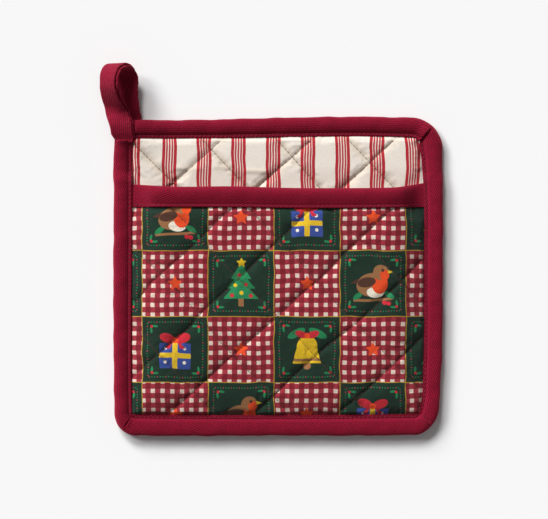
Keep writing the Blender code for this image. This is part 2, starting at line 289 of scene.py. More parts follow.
def store(piece: Piece, name: str, values: Array) -> None:
    """Stores one number for each point of a piece, under a name that its material reads."""
    attribute = piece.data.attributes.new(name, "FLOAT", "POINT")
    attribute.data.foreach_set("value", values.astype(np.float32).ravel())


def facing(places: Array, up: float = 1.0) -> tuple[Array, Array]:
    """Row of stitches at places, on cloth that faces straight up, or down where up is -1."""
    return places, np.repeat(((0.0, 0.0, up),), len(places), 0)


# ---------------------------------------------------------------- the sewn form


@dataclass(frozen=True)
class Layers:
    """Heights of the stack of layers that the bindings hold, and the corner's lift.

    back_edge and pocket_edge are the underside and the top of each panel where a binding
    holds it. roof is the top of the binding's slit, which sinks to one_layer_roof above
    the mouth, where the pocket's layer is missing.
    """

    back_edge: tuple[float, float] = (1.6, 3.2)
    pocket_edge: tuple[float, float] = (3.6, 5.5)
    roof: float = 5.9
    one_layer_roof: float = 3.6
    one_layer_y: tuple[float, float] = (63.0, 71.0)
    lift_height: float = 3.0
    lift_centre: tuple[float, float] = (-101.0, 101.0)
    lift_reach: float = 30.0

    def lift(self, x: Array, y: Array) -> Array:
        """Height of the corner that lies on the loop's lower end: a smooth hump."""
        distance = np.hypot(x - self.lift_centre[0], y - self.lift_centre[1])
        return self.lift_height * smooth(1.0 - distance / self.lift_reach)

    def missing(self, y: Array) -> Array:
        """Height of the pocket's layer, which is missing above the mouth."""
        return (self.roof - self.one_layer_roof) * span(y, *self.one_layer_y)


@dataclass(frozen=True)
class Corner:
    """One corner of the outline: its radius, and how its mitre is folded.

    fold_at is the share of the outer way round the corner where the fold ends.
    raise_before and raise_after lift the strip before and after the fold, going
    anticlockwise. slit and slit_width are the open fold's depth, and its width as a share
    of the way round. Nearer the outer edge than slit_reach, a share of the strip's
    width, the fold fades out.
    """

    side: tuple[int, int]
    radius: float
    fold_at: float = 0.5
    raise_before: float = 0.0
    raise_after: float = 0.0
    slit: float = 0.0
    slit_width: float = 0.028
    slit_reach: float = 0.22


@dataclass(frozen=True)
class Bows:
    """How far each side of an edge stands outward from the plain rectangle.

    A side's table has shares along the side, from -1 to 1, and the distance there.
    """

    right: Table
    top: Table
    left: Table
    bottom: Table

    def outward(self, normal: Array, across: Array, along: Array) -> Array:
        """Distance of stations that face a normal: the two sides' ones, mixed by it."""
        out_x = np.where(normal[:, 0] > 0.0, through(self.right, along), through(self.left, along))
        out_y = np.where(normal[:, 1] > 0.0, through(self.top, across), through(self.bottom, across))
        return out_x * np.abs(normal[:, 0]) + out_y * np.abs(normal[:, 1])


# The four sides from the right one, anticlockwise: the way along each, and the way out.
RUNS = np.array(((0.0, 1.0), (-1.0, 0.0), (0.0, -1.0), (1.0, 0.0)))
OUTWARD = np.array(((1.0, 0.0), (0.0, 1.0), (-1.0, 0.0), (0.0, -1.0)))


@dataclass(frozen=True)
class Outline:
    """The bound outline and the inner edge of its binding, in plan."""

    half_width: float = 110.0
    half_length: float = 106.15
    inner_half_width: float = 98.0
    inner_top: float = 92.4
    inner_bottom: float = -93.1
    inner_radius: float = 0.8
    outer_bows: Bows = Bows(
        right=((-1.0, -2.4), (-0.85, -1.7), (-0.5, 0.3), (0.0, 0.8), (0.5, 0.9), (0.8, 0.5), (1.0, -0.3)),
        top=((-1.0, -1.4), (-0.5, -1.3), (0.0, 0.1), (0.5, 0.9), (1.0, -0.3)),
        left=(
            (-1.0, -0.5), (-0.5, 0.2), (0.0, 0.45), (0.5, 0.1), (0.79, 0.1), (0.85, -0.5), (0.9, -1.2),
            (1.0, -1.2),
        ),
        bottom=((-1.0, 1.0), (-0.5, 1.3), (0.0, 1.0), (0.5, 1.1), (1.0, 0.4)),
    )
    inner_bows: Bows = Bows(
        right=(
            (-0.88, -4.1), (-0.81, -2.1), (-0.56, -0.4), (0.0, 0.1), (0.6, -0.5), (0.75, -1.7), (0.88, -4.3),
        ),
        top=((-1.0, 0.0), (-0.4, 0.3), (0.2, 1.2), (0.6, 1.5), (1.0, 0.6)),
        left=((-1.0, -0.6), (-0.6, 0.1), (0.2, -0.2), (1.0, 0.0)),
        bottom=((-1.0, -0.3), (-0.3, 0.2), (0.4, 0.0), (1.0, -0.7)),
    )
    corners: tuple[Corner, ...] = (
        Corner((1, 1), 19.0, raise_before=-0.5, raise_after=1.0, slit=2.0),
        Corner((-1, 1), 8.0),
        Corner((-1, -1), 15.0, fold_at=0.62, raise_before=-0.3, raise_after=0.8, slit=1.2, slit_reach=0.25),
        Corner((1, -1), 18.0, raise_before=0.25, raise_after=0.25, slit=2.6, slit_width=0.02),
    )

    def inside(self, x: Array, y: Array) -> Array:
        """How far a place lies inside the binding's inner edge."""
        across, along = x / self.inner_half_width, y / self.half_length
        right = self.inner_half_width + through(self.inner_bows.right, along) - x
        left = self.inner_half_width + through(self.inner_bows.left, along) + x
        top = self.inner_top + through(self.inner_bows.top, across) - y
        bottom = y - self.inner_bottom + through(self.inner_bows.bottom, across)
        return np.minimum(np.minimum(right, left), np.minimum(top, bottom))

    def tips(self, number: int) -> tuple[Array, Array]:
        """Where the sides would meet at a corner, on the outline and on the inner edge."""
        side = np.array(self.corners[number].side)
        inner_y = self.inner_top if side[1] > 0 else -self.inner_bottom
        return side * (self.half_width, self.half_length), side * (self.inner_half_width, inner_y)

    def zone(self, number: int) -> tuple[Array, Array]:
        """Where the straight side before a corner ends, and where the next one starts.

        Args:
            number: the corner's, anticlockwise from the top right.

        Returns:
            Both places on the outline.
        """
        radius = self.corners[number].radius
        outer, inner = self.tips(number)
        before, after = RUNS[number], RUNS[(number + 1) % 4]
        reach_before = max(radius, (outer - inner) @ before + self.inner_radius)
        reach_after = max(radius, -((outer - inner) @ after) + self.inner_radius)
        return outer - before * reach_before, outer + after * reach_after


@dataclass
class Ring:
    """Stations round the outline, anticlockwise from the right side's lower end.

    outer and inner are a station's places on the outline and on the binding's inner
    edge. side and corner are the numbers of those it belongs to, and corner is -1 along
    a side. way is the share of the way round the corner.
    """

    outer: Array
    inner: Array
    side: Array
    corner: Array
    way: Array

    SIDE_STEP = 0.73
    CORNER_STEPS = 84
    ARC_POINTS = 25
    GATHERED = 1.45
    WAVER = (0.22, 29.0)  # height and wavelength

    @classmethod
    def around(cls, outline: Outline) -> "Ring":
        """Stations of the outline, with its bows and a slight waver.

        Args:
            outline: its sizes.

        Returns:
            The ring.
        """
        stretches = []
        for number in range(4):
            stretches += [cls.along_side(outline, number), cls.round_corner(outline, number)]
        outer, inner, normal, *rest = (np.concatenate(part) for part in zip(*stretches))
        waver = cls.WAVER[0] * ripple(chords(outer), cls.WAVER[1], 11)
        along = outer[:, 1] / outline.half_length
        out = outline.outer_bows.outward(normal, outer[:, 0] / outline.half_width, along)
        outer = outer + normal * (out + waver)[:, None]
        along = inner[:, 1] / outline.half_length
        out = outline.inner_bows.outward(normal, inner[:, 0] / outline.inner_half_width, along)
        return cls(outer, inner + normal * out[:, None], *rest)

    @classmethod
    def along_side(cls, outline: Outline, number: int) -> tuple[Array, ...]:
        """Even stations of a side.

        Args:
            outline: its sizes.
            number: the side's, anticlockwise from the right one.

        Returns:
            Arrays of outer, inner, normal, side, corner and way.
        """
        first, last = outline.zone(number - 1)[1], outline.zone(number)[0]
        count = max(int(np.linalg.norm(last - first) / cls.SIDE_STEP), 2)
        outer = blend(first, last, np.arange(1, count)[:, None] / count)
        tip, inner_tip = outline.tips(number)
        inset = (tip - inner_tip) @ OUTWARD[number]
        normal = np.repeat(OUTWARD[number][None], count - 1, 0)
        side, corner, way = (np.full(count - 1, value) for value in (number, -1, 0.0))
        return outer, outer - inset * normal, normal, side, corner, way

    @classmethod
    def round_corner(cls, outline: Outline, number: int) -> tuple[Array, ...]:
        """Stations round a corner.

        They fan from the inner corner to the outer arc, and stand closest at the mitre's
        fold: the way is 1/2 more or less half of |t| to the power of GATHERED.

        Args:
            outline: its sizes.
            number: the corner's, at the end of the side of that number.

        Returns:
            The same arrays as for a side.
        """
        corner = outline.corners[number]
        tip, inner_tip = outline.tips(number)
        first, last = outline.zone(number)
        before, after = OUTWARD[number], OUTWARD[(number + 1) % 4]
        angles = np.linspace(0.0, np.pi / 2, cls.ARC_POINTS)[:, None]
        turn = before * np.cos(angles) + after * np.sin(angles)
        arc = tip - corner.radius * (before + after) + corner.radius * turn
        inner_arc = inner_tip - outline.inner_radius * (before + after) + outline.inner_radius * turn
        inner_first = first - ((tip - inner_tip) @ before) * before
        inner_last = last - ((tip - inner_tip) @ after) * after
        path, inner_path = np.vstack((first, arc, last)), np.vstack((inner_first, inner_arc, inner_last))
        t = np.linspace(-1.0, 1.0, cls.CORNER_STEPS + 1)
        way = 0.5 + 0.5 * np.sign(t) * np.abs(t) ** cls.GATHERED
        length, inner_length = chords(path), chords(inner_path)
        at = np.interp(way, (0.0, 0.5, 1.0), (0.0, corner.fold_at, 1.0)) * length[-1]
        normal = unit(between(length, np.vstack((before, turn, after)), at))
        inner = between(inner_length, inner_path, way * inner_length[-1])
        side = np.where(t < 0.0, number, (number + 1) % 4)
        return between(length, path, at), inner, normal, side, np.full(len(way), number), way


LAYERS = Layers()
OUTLINE = Outline()


# ---------------------------------------------------------------- finishes


def linear(colour: str) -> Colour:
    """Linear colour of an sRGB hex value such as #8a1f33."""
    values = [int(colour[k : k + 2], 16) / 255.0 for k in (1, 3, 5)]
    return (*(c / 12.92 if c <= 0.04045 else ((c + 0.055) / 1.055) ** 2.4 for c in values), 1.0)


def set_inputs(tree: Tree, node: bpy.types.Node, inputs: dict) -> None:
    """Sets a node's inputs.

    Args:
        tree: the material's node tree.
        node: the node.
        inputs: by input, a socket to link, a hex colour or another value.
    """
    for name, value in inputs.items():
        if isinstance(value, Socket):
            tree.links.new(value, node.inputs[name])
        else:
            node.inputs[name].default_value = linear(value) if isinstance(value, str) else value


def add(tree: Tree, kind: str, inputs: dict | None = None, **settings: object) -> bpy.types.Node:
    """Adds one node.

    Args:
        tree: the material's node tree.
        kind: the node's type.
        inputs: what set_inputs gives its inputs.
        settings: the node's own properties.

    Returns:
        The node.
    """
    made = tree.nodes.new(kind)
    for name, value in settings.items():
        setattr(made, name, value)
    set_inputs(tree, made, inputs or {})
    return made


@dataclass
class Recipe:
    """The named values that a cloth's material is mixed from: sockets and numbers."""

    tree: Tree
    place: Socket
    known: dict[str, Socket | float]

    SIGNS = {ast.Add: "ADD", ast.Sub: "SUBTRACT", ast.Mult: "MULTIPLY", ast.Div: "DIVIDE", ast.Pow: "POWER"}
    CALLS = {
        "abs": "ABSOLUTE", "min": "MINIMUM", "max": "MAXIMUM", "sin": "SINE", "floor": "FLOOR",
        "fract": "FRACT", "mod": "FLOORED_MODULO", "more": "GREATER_THAN", "root": "SQRT",
    }

    def noise(self, name: str, size: float, detail: float = 3.0) -> None:
        """Adds noise from 0 to 1, whose blotches are size millimetres across."""
        inputs = {"Vector": self.place, "Scale": 1.0 / size, "Detail": detail, "Roughness": 0.6}
        self.known[name] = add(self.tree, "ShaderNodeTexNoise", inputs).outputs[0]

    def stored(self, name: str) -> None:
        """Adds the number that the piece stores under this name at each point."""
        self.known[name] = add(self.tree, "ShaderNodeAttribute", attribute_name=name).outputs["Fac"]

    def work_out(self, **formulas: str) -> None:
        """Adds values by formulas, each of which may use the values before it.

        A formula has sums, products, powers and the calls of CALLS, and clamp(x) keeps x
        between 0 and 1.
        """
        for name, formula in formulas.items():
            self.known[name] = self.value(ast.parse(formula).body[0].value)

    def value(self, part: ast.AST) -> Socket | float:
        """Makes the Math nodes of one part of a formula.

        Args:
            part: a number, a name, a sum or product, or a call.

        Returns:
            Its value.
        """
        if isinstance(part, ast.Constant):
            return float(part.value)
        if isinstance(part, ast.Name):
            return self.known[part.id]
        if isinstance(part, ast.BinOp):
            settings, terms = {"operation": self.SIGNS[type(part.op)]}, (part.left, part.right)
        elif part.func.id == "clamp":
            settings, terms = {"operation": "ADD", "use_clamp": True}, (*part.args, ast.Constant(0.0))
        else:
            settings, terms = {"operation": self.CALLS[part.func.id]}, part.args
        inputs = dict(enumerate(self.value(term) for term in terms))
        return add(self.tree, "ShaderNodeMath", inputs, **settings).outputs[0]

    def painted(self, ground: str | Socket, *layers: tuple[str, str | Socket]) -> Socket:
        """Lays colours over a ground one after the other.

        Args:
            ground: the first colour.
            layers: pairs of the name of a value that is 1 where the colour lies, and the
                colour.

        Returns:
            The socket with the final colour.
        """
        for name, colour in layers:
            inputs = {0: self.known[name], 6: ground, 7: colour}
            ground = add(self.tree, "ShaderNodeMix", inputs, data_type="RGBA").outputs[2]
        return ground


@dataclass(frozen=True)
class ClothFinish:
    """Base of the cotton finishes: a matt, slightly hairy cloth with a woven relief.

    fuzz is the colour of the hairs, which show at a flat angle. relief is the bumps'
    height, weave the width of two yarns as drawn, and specks how dark the painted shade
    in the gaps between yarns is. The formulas know every number of a finish by its field's name.
    """

    name: str
    roughness: float = 0.9
    gloss: float = 0.25
    sheen: float = 0.15
    fuzz: str = "#ffffff"
    relief: float = 0.12
    weave: float = 1.4
    specks: float = 0.8

    def material(self) -> Material:
        """Makes the material, with its colour and relief worked out from the flat cloth."""
        made = bpy.data.materials.new(self.name)
        made.use_nodes = True
        tree = made.node_tree
        flat = {0: add(tree, "ShaderNodeUVMap", uv_map="cloth").outputs[0], 1: (CLOTH_UNIT,) * 3}
        place = add(tree, "ShaderNodeVectorMath", flat, operation="MULTIPLY").outputs[0]
        u, v, _ = add(tree, "ShaderNodeSeparateXYZ", {0: place}).outputs
        numbers = {name: value for name, value in vars(self).items() if isinstance(value, float)}
        recipe = Recipe(tree, place, {"u": u, "v": v, "turn": TURN, **numbers})
        recipe.noise("gaps", 0.75, 4.0)
        # Black specks: painted shade in the gaps between the yarns.
        recipe.work_out(specked="clamp(specks * (gaps - 0.42))")
        colour = recipe.painted(self.colour(recipe), ("specked", "#000000"))
        self.height(recipe)
        bump = add(tree, "ShaderNodeBump", {"Height": recipe.known["height"], "Distance": self.relief * MM})
        inputs = {
            "Base Color": colour,
            "Roughness": self.roughness,
            "Specular IOR Level": self.gloss,
            "Sheen Weight": self.sheen,
            "Sheen Roughness": 0.5,
            "Sheen Tint": self.fuzz,
            "Normal": bump.outputs[0],
        }
        set_inputs(tree, tree.nodes["Principled BSDF"], inputs)
        return made

    def colour(self, recipe: Recipe) -> Socket:
        """Colour of the cloth at the flat place u, v.

        Args:
            recipe: the known values, to which the finish adds its own.

        Returns:
            The socket with the colour.
        """
        raise NotImplementedError

    def height(self, recipe: Recipe) -> None:
        """Plain weave: the product of two waves along the yarns, a checker of bumps.

        The yarns are drawn 0.7 mm apart, about twice as coarse as they are, because a
        finer weave doesn't show.
        """
        recipe.noise("hairs", 0.9)
        recipe.work_out(height="0.2 * sin(u * turn / weave) * sin(v * turn / weave) + 0.9 * hairs")


@dataclass(frozen=True)
class Twill(ClothFinish):
    """Cotton twill, piece dyed dark red: fine slanting ribs catch the light in turn.

    pitch is from rib to rib as drawn, about twice as coarse as real twill, so that the
    ribs show. slant is their lean from the strip's run in degrees.
    """

    gloss: float = 0.12
    sheen: float = 0.65
    fuzz: str = "#dc4c66"
    specks: float = 1.5
    base: str = "#6e0820"
    # rib and groove are painted: a highlight on the ribs and shade between them.
    rib: str = "#981232"
    groove: str = "#4c0414"
    pitch: float = 1.35
    slant: float = 28.0

    def colour(self, recipe: Recipe) -> Socket:
        """Dark red, with a painted highlight on the ribs and painted shade between them, and faint random
        blotches.

        The ribs are a sine from 0 to 1 across the slanting lines.
        """
        slant = math.radians(self.slant)
        recipe.known |= {"c": math.cos(slant), "s": math.sin(slant)}
        recipe.noise("wander", 3.5, 2.0)
        recipe.noise("lint", 1.1, 4.0)
        recipe.noise("blotch", 14.0)
        # light paints a highlight on the ribs, with random blotches, and dark paints shade between them.
        recipe.work_out(
            ribs="0.5 + 0.5 * sin(turn / pitch * (v * c - u * s) + 1.8 * wander)",
            light="clamp(3.4 * ribs * (lint - 0.22) + 0.5 * (blotch - 0.5))",
            dark="clamp((0.5 - ribs) * 5.0 * (0.75 - lint))",
        )
        return recipe.painted(self.base, ("light", self.rib), ("dark", self.groove))

    def height(self, recipe: Recipe) -> None:
        """Relief of the ribs that colour has drawn, with a little fuzz."""
        recipe.noise("hairs", 0.8)
        recipe.work_out(height="1.1 * ribs + 1.5 * hairs")


@dataclass(frozen=True)
class Ticking(ClothFinish):
    """Cotton ticking, printed in stripes: groups of red lines on a warm cream ground.

    Groups are pitch apart from first on. thin and thick are half of the lines' widths,
    and thin_at and thick_at their places from the middle of a group. seam is the colour
    of the painted warm shade beside the seams, where they draw the cloth in, and along the creases.
    """

    specks: float = 0.6
    ground: str = "#e9e0d5"
    shade: str = "#ded4c7"
    line: str = "#aa1426"
    # Colour of the painted warm shade beside the seams and along the creases.
    seam: str = "#b39a72"
    pitch: float = 23.23
    first: float = -3.0
    thick_at: float = 3.85
    thick: float = 1.02
    thin_at: float = 1.8
    thin: float = 0.6

    def colour(self, recipe: Recipe) -> Socket:
        """Cream with stripes: in a group, thin lines at 0 and thin_at, and thick ones outside, over random
        blotches and a painted warm shade beside the seams and creases.
        """
        recipe.noise("waver", 5.0)
        recipe.noise("ink", 0.8)
        recipe.noise("blotch", 9.0)
        recipe.stored("near_seam")
        recipe.work_out(
            away="abs(fract((u - first) / pitch + 0.5) - 0.5) * pitch + 0.25 * (waver - 0.5)",
            thin_lines="clamp((thin - min(away, abs(away - thin_at))) / 0.18 + 0.5) * (0.78 + 0.34 * ink)",
            thick_lines="clamp((thick - abs(away - thick_at)) / 0.18 + 0.5) * (0.86 + 0.26 * ink)",
            # Painted warm shade, blotchy, beside the seams and along the creases.
            drawn_in="near_seam * (0.12 + 0.3 * blotch)",
        )
        lines = (("thin_lines", self.line), ("thick_lines", self.line))
        return recipe.painted(self.ground, ("blotch", self.shade), ("drawn_in", self.seam), *lines)


class Ink(Enum):
    """Colours of the printed motifs, in the order that they are laid on."""

    BROWN = "#93653f"
    COCOA = "#4a2c20"
    LEAF = "#1d7d4c"
    BLUE = "#33488f"
    SCARLET = "#bf2230"
    YELLOW = "#d9b21c"
    ORANGE = "#e0481a"
    CREAM = "#e9dfcd"

    @property
    def stored_as(self) -> str:
        """Name under which the pocket stores its distance to this ink."""
        return f"ink_{self.name.lower()}"


@dataclass(frozen=True)
class Shape:
    """One shape of a motif, in its ink."""

    ink: Ink

    def distance(self, u: Array, v: Array) -> Array:
        """Signed distance from the shape's edge, negative inside."""
        raise NotImplementedError


@dataclass(frozen=True)
class Polygon(Shape):
    """Convex polygon."""

    corners: Table

    def distance(self, u: Array, v: Array) -> Array:
        """The greatest distance past one of the sides."""
        corners = np.array(self.corners)
        following = np.roll(corners, -1, 0)
        area = np.cross(corners - corners[0], following - corners[0]).sum()
        run = np.sign(area) * unit(following - corners)
        past = [(u - a[0]) * way[1] - (v - a[1]) * way[0] for a, way in zip(corners, run)]
        return np.max(past, axis=0)


@dataclass(frozen=True)
class Ellipse(Shape):
    """Ellipse with a centre, two half axes and a turn in degrees."""

    x: float
    y: float
    a: float
    b: float
    turn: float = 0.0

    def distance(self, u: Array, v: Array) -> Array:
        """How far the scaled radius is past 1, times the lesser half axis."""
        turn = math.radians(self.turn)
        along = (u - self.x) * math.cos(turn) + (v - self.y) * math.sin(turn)
        across = (v - self.y) * math.cos(turn) - (u - self.x) * math.sin(turn)
        return (np.hypot(along / self.a, across / self.b) - 1.0) * min(self.a, self.b)


@dataclass(frozen=True)
class Star(Shape):
    """Star with a centre, and the radius to its tips and to its notches."""

    x: float
    y: float
    tip: float
    notch: float
    tips: int = 5

    def distance(self, u: Array, v: Array) -> Array:
        """The distance past the side of a tip that all of them are folded on."""
        fold = math.pi / self.tips
        angle = np.abs((np.arctan2(u - self.x, v - self.y) + fold) % (2.0 * fold) - fold)
        radius = np.hypot(u - self.x, v - self.y)
        run = unit(self.notch * np.array((math.cos(fold), math.sin(fold))) - (self.tip, 0.0))
        return (radius * np.cos(angle) - self.tip) * run[1] - radius * np.sin(angle) * run[0]


def block(ink: Ink, half: float, bottom: float, top: float, top_half: float | None = None) -> Polygon:
    """Block on the middle line, with half its width at the bottom and at the top."""
    above = half if top_half is None else top_half
    return Polygon(ink, ((-half, bottom), (half, bottom), (above, top), (-above, top)))


def dots(ink: Ink, radius: float, *centres: tuple[float, float]) -> tuple[Ellipse, ...]:
    """Round dots."""
    return tuple(Ellipse(ink, x, y, radius, radius) for x, y in centres)


def pair(ink: Ink, x: float, y: float, a: float, b: float, turn: float) -> tuple[Ellipse, ...]:
    """An ellipse and its mirror image on the other side of the middle line."""
    return Ellipse(ink, -x, y, a, b, -turn), Ellipse(ink, x, y, a, b, turn)


FIR_TREE = (
    block(Ink.BROWN, 1.4, -12.0, -7.0),
    Polygon(Ink.LEAF, ((-9.5, -8.0), (9.5, -8.0), (0.0, 2.4))),
    Polygon(Ink.LEAF, ((-7.6, -2.6), (7.6, -2.6), (0.0, 6.2))),
    Polygon(Ink.LEAF, ((-5.4, 2.4), (5.4, 2.4), (0.0, 10.4))),
    *dots(Ink.SCARLET, 1.1, (-4.6, -6.2), (5.2, -6.4)),
    *dots(Ink.SCARLET, 1.0, (2.6, -0.6), (-0.8, 4.4)),
    *dots(Ink.YELLOW, 1.1, (0.4, -5.0)),
    *dots(Ink.YELLOW, 1.0, (-2.9, -0.9)),
    Star(Ink.YELLOW, 0.0, 10.9, 3.0, 1.35),
)
BIRD = (
    Polygon(Ink.BROWN, ((-10.5, -9.6), (10.5, -8.6), (10.5, -7.3), (-10.5, -8.3))),
    Ellipse(Ink.LEAF, -8.0, -6.6, 3.2, 1.3, 35.0),
    Ellipse(Ink.LEAF, 8.6, -6.0, 3.2, 1.3, -35.0),
    *dots(Ink.SCARLET, 1.2, (6.0, -9.9), (8.2, -10.4)),
    Polygon(Ink.COCOA, ((-12.0, 0.2), (-5.0, 3.6), (-4.4, -0.8))),
    Ellipse(Ink.BROWN, -0.8, -0.4, 7.8, 5.8, 18.0),
    Ellipse(Ink.CREAM, 1.4, -4.4, 4.6, 2.8),
    Ellipse(Ink.ORANGE, 3.6, -0.4, 4.0, 4.8),
    Ellipse(Ink.BROWN, 4.0, 6.0, 4.2, 4.0),
    Ellipse(Ink.ORANGE, 5.8, 4.6, 2.4, 2.8),
    Ellipse(Ink.COCOA, -3.2, 0.6, 4.8, 2.5, 14.0),
    Polygon(Ink.YELLOW, ((7.6, 7.2), (10.9, 6.1), (7.6, 5.2))),
    *dots(Ink.COCOA, 0.9, (4.9, 7.1)),
)
PARCEL = (
    block(Ink.BLUE, 8.2, -10.0, 3.4),
    *dots(Ink.CREAM, 0.9, (-5.0, -6.6), (5.0, -6.6), (-5.0, 0.6), (5.0, 0.6)),
    block(Ink.YELLOW, 8.2, -4.4, -1.8),
    block(Ink.YELLOW, 1.4, -10.0, 3.4),
    *pair(Ink.SCARLET, 3.9, 5.8, 4.2, 2.4, 24.0),
    Polygon(Ink.SCARLET, ((-1.0, 4.6), (-5.6, 0.6), (-2.8, 0.2))),
    Polygon(Ink.SCARLET, ((1.0, 4.6), (5.6, 0.6), (2.8, 0.2))),
    Ellipse(Ink.ORANGE, 0.0, 4.6, 1.7, 1.6),
)
BELL = (
    *pair(Ink.LEAF, 5.6, 8.6, 5.2, 2.0, -28.0),
    Ellipse(Ink.BROWN, 0.0, -8.6, 2.0, 1.9),
    Ellipse(Ink.YELLOW, 0.0, 1.6, 5.2, 6.0),
    block(Ink.YELLOW, 7.8, -7.2, 1.6, 4.9),
    block(Ink.BROWN, 7.4, -6.0, -4.6, 6.9),
    *pair(Ink.SCARLET, 3.0, 8.0, 3.4, 1.8, 18.0),
    *dots(Ink.ORANGE, 1.5, (0.0, 7.4)),
)
PLAIN_STAR = (Star(Ink.ORANGE, 0.0, 0.0, 5.6, 2.6),)
SPRIG = (
    Ellipse(Ink.LEAF, 13.2, 15.9, 2.1, 0.8, 8.0),
    Ellipse(Ink.LEAF, 15.9, 13.2, 0.8, 2.1, -8.0),
    *dots(Ink.SCARLET, 1.0, (15.6, 15.6)),
)


@dataclass(frozen=True)
class Patchwork:
    """Layout of the print: upright squares in turn bottle green and gingham.

    Each green square has one of four motifs in its middle and a sprig in each corner,
    and each gingham square a star. corner is a place where four squares meet, and far
    the greatest distance that is kept.
    """

    square: float = 44.0
    corner: tuple[float, float] = (-46.5, -27.0)
    motifs: tuple = (FIR_TREE, BIRD, PARCEL, BELL)
    motif_scale: float = 1.28
    far: float = 9.0

    def fields(self, u: Array, v: Array) -> dict[Ink, Array]:
        """Signed distances to each ink, negative inside.

        A shape joins its own ink's field as the lesser of the two, and is cut from the
        inks laid on later as the greater of their field and its own distance reversed.

        Args:
            u, v: places on the flat cloth.

        Returns:
            The distances by ink.
        """
        column = np.floor((u - self.corner[0]) / self.square)
        row = np.floor((v - self.corner[1]) / self.square)
        local_u = u - self.corner[0] - (column + 0.5) * self.square
        local_v = v - self.corner[1] - (row + 0.5) * self.square
        green = (column + row) % 2 == 0
        which = np.where(green, ((column - row) // 2 + 2 * row) % len(self.motifs), -1)
        inks = list(Ink)
        found = {ink: np.full(u.shape, self.far) for ink in inks}
        for number, motif in [*enumerate(self.motifs), (-1, PLAIN_STAR)]:
            here = which == number
            scale = self.motif_scale if number >= 0 else 1.0
            for shape in motif:
                distance = scale * shape.distance(local_u / scale, local_v / scale)
                distance = np.clip(distance, -self.far, self.far)
                found[shape.ink] = np.where(here, np.minimum(found[shape.ink], distance), found[shape.ink])
                for ink in inks[inks.index(shape.ink) + 1 :]:
                    found[ink] = np.where(here, np.maximum(found[ink], -distance), found[ink])
        for shape in SPRIG:
            distance = np.clip(shape.distance(np.abs(local_u), np.abs(local_v)), -self.far, self.far)
            found[shape.ink] = np.where(green, np.minimum(found[shape.ink], distance), found[shape.ink])
        return found


@dataclass(frozen=True)
class PrintedCalico(ClothFinish):
    """Plain cotton calico, roller printed: flat inks that let the weave show faintly.

    check is the gingham's pitch, and check_red, bead and gold_width are half of the
    widths of its red lines, of a bead and of the gold lines. Beads are bead_pitch apart,
    24 to a square's side.
    """

    specks: float = 1.3
    layout: Patchwork = Patchwork()
    green: str = "#163525"
    deep: str = "#0a1f15"
    bead_green: str = "#1f7a4a"
    bead_red: str = "#a03040"
    gold: str = "#b08c2c"
    cream: str = "#dcc8b9"
    middle: str = "#962031"
    dark: str = "#781522"
    check: float = 6.4
    check_red: float = 1.82
    bead_inset: float = 3.6
    bead_pitch: float = 44.0 / 24.0
    bead: float = 0.42
    gold_width: float = 0.27

    def colour(self, recipe: Recipe) -> Socket:
        """The print.

        Gingham is red where the distance to the nearest check line, across or along, is
        under check_red, and darker where both are. A gold line follows every square's
        edge, and a row of beads runs bead_inset inside a green one, the third one of
        every three in red.
        """
        corner = self.layout.corner
        recipe.known |= {"a": corner[0], "b": corner[1], "square": self.layout.square}
        recipe.noise("waver", 2.2)
        recipe.noise("lint", 0.9, 4.0)
        recipe.noise("blotch", 6.0)
        recipe.work_out(
            gingham="mod(floor((u - a) / square) + floor((v - b) / square), 2)",
            aside="0.5 * (waver - 0.5)",
            warp="clamp((check_red - abs(fract(u / check) - 0.5) * check + aside) / 0.25 + 0.5)",
            weft="clamp((check_red - abs(fract(v / check) - 0.5) * check - aside) / 0.25 + 0.5)",
            either="max(warp, weft) * (0.84 + 0.3 * lint)",
            both="warp * weft",
            across="abs(fract((u - a) / square + 0.5) - 0.5) * square",
            along="abs(fract((v - b) / square + 0.5) - 0.5) * square",
            edge="min(across, along)",
            upright="more(along, across)",
            run="((v - b) * upright + (u - a) * (1 - upright)) / bead_pitch",
            off="root((edge - bead_inset) ** 2 + ((fract(run) - 0.5) * bead_pitch) ** 2)",
            beads="clamp((bead - off) / 0.2 + 0.5)",
            red_beads="beads * more(mod(floor(run), 3), 1.5)",
            lines="clamp((gold_width - edge) / 0.15 + 0.5)",
        )
        layers = [("gingham", recipe.painted(self.cream, ("either", self.middle), ("both", self.dark)))]
        for ink in Ink:
            recipe.stored(ink.stored_as)
            recipe.work_out(**{ink.name: f"clamp(0.5 - {ink.stored_as} / 0.16) * (0.9 + 0.16 * lint)"})
            layers.append((ink.name, ink.value))
        beads = (("beads", self.bead_green), ("red_beads", self.bead_red))
        return recipe.painted(self.green, ("blotch", self.deep), *beads, *layers, ("lines", self.gold))


@dataclass(frozen=True)
class ThreadFinish:
    """Spun cotton sewing thread, matt, with its two plies as a faint twist."""

    name: str
    colour: str
    shade: float = 0.55

    def material(self) -> Material:
        """Makes the material: blotches a millimetre across, darker by shade, stand for the plies."""
        made = bpy.data.materials.new(self.name)
        made.use_nodes = True
        tree = made.node_tree
        place = add(tree, "ShaderNodeTexCoord").outputs["Object"]
        plies = add(tree, "ShaderNodeTexNoise", {"Vector": place, "Scale": 1.0 / MM}).outputs[0]
        dark = (*(self.shade * c for c in linear(self.colour)[:3]), 1.0)
        inputs = {0: plies, 6: self.colour, 7: dark}
        colour = add(tree, "ShaderNodeMix", inputs, data_type="RGBA").outputs[2]
        set_inputs(tree, tree.nodes["Principled BSDF"], {"Base Color": colour, "Roughness": 0.7})
        return made


# ---------------------------------------------------------------- the sewn pieces


def dress(piece: Piece, finish: Material, node: str | None = None) -> Piece:
    """Gives a piece its finish and its place in the frame.

    Args:
        piece: the piece, which rides on the only body.
        finish: its material.
        node: the CAD node that it stands for.

    Returns:
        The piece.
    """
    piece.data.materials.append(finish)
    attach(piece, ROOT)
    if node:
        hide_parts(node)
    log.info("%s: %d faces", piece.name, len(piece.data.polygons))
    return piece


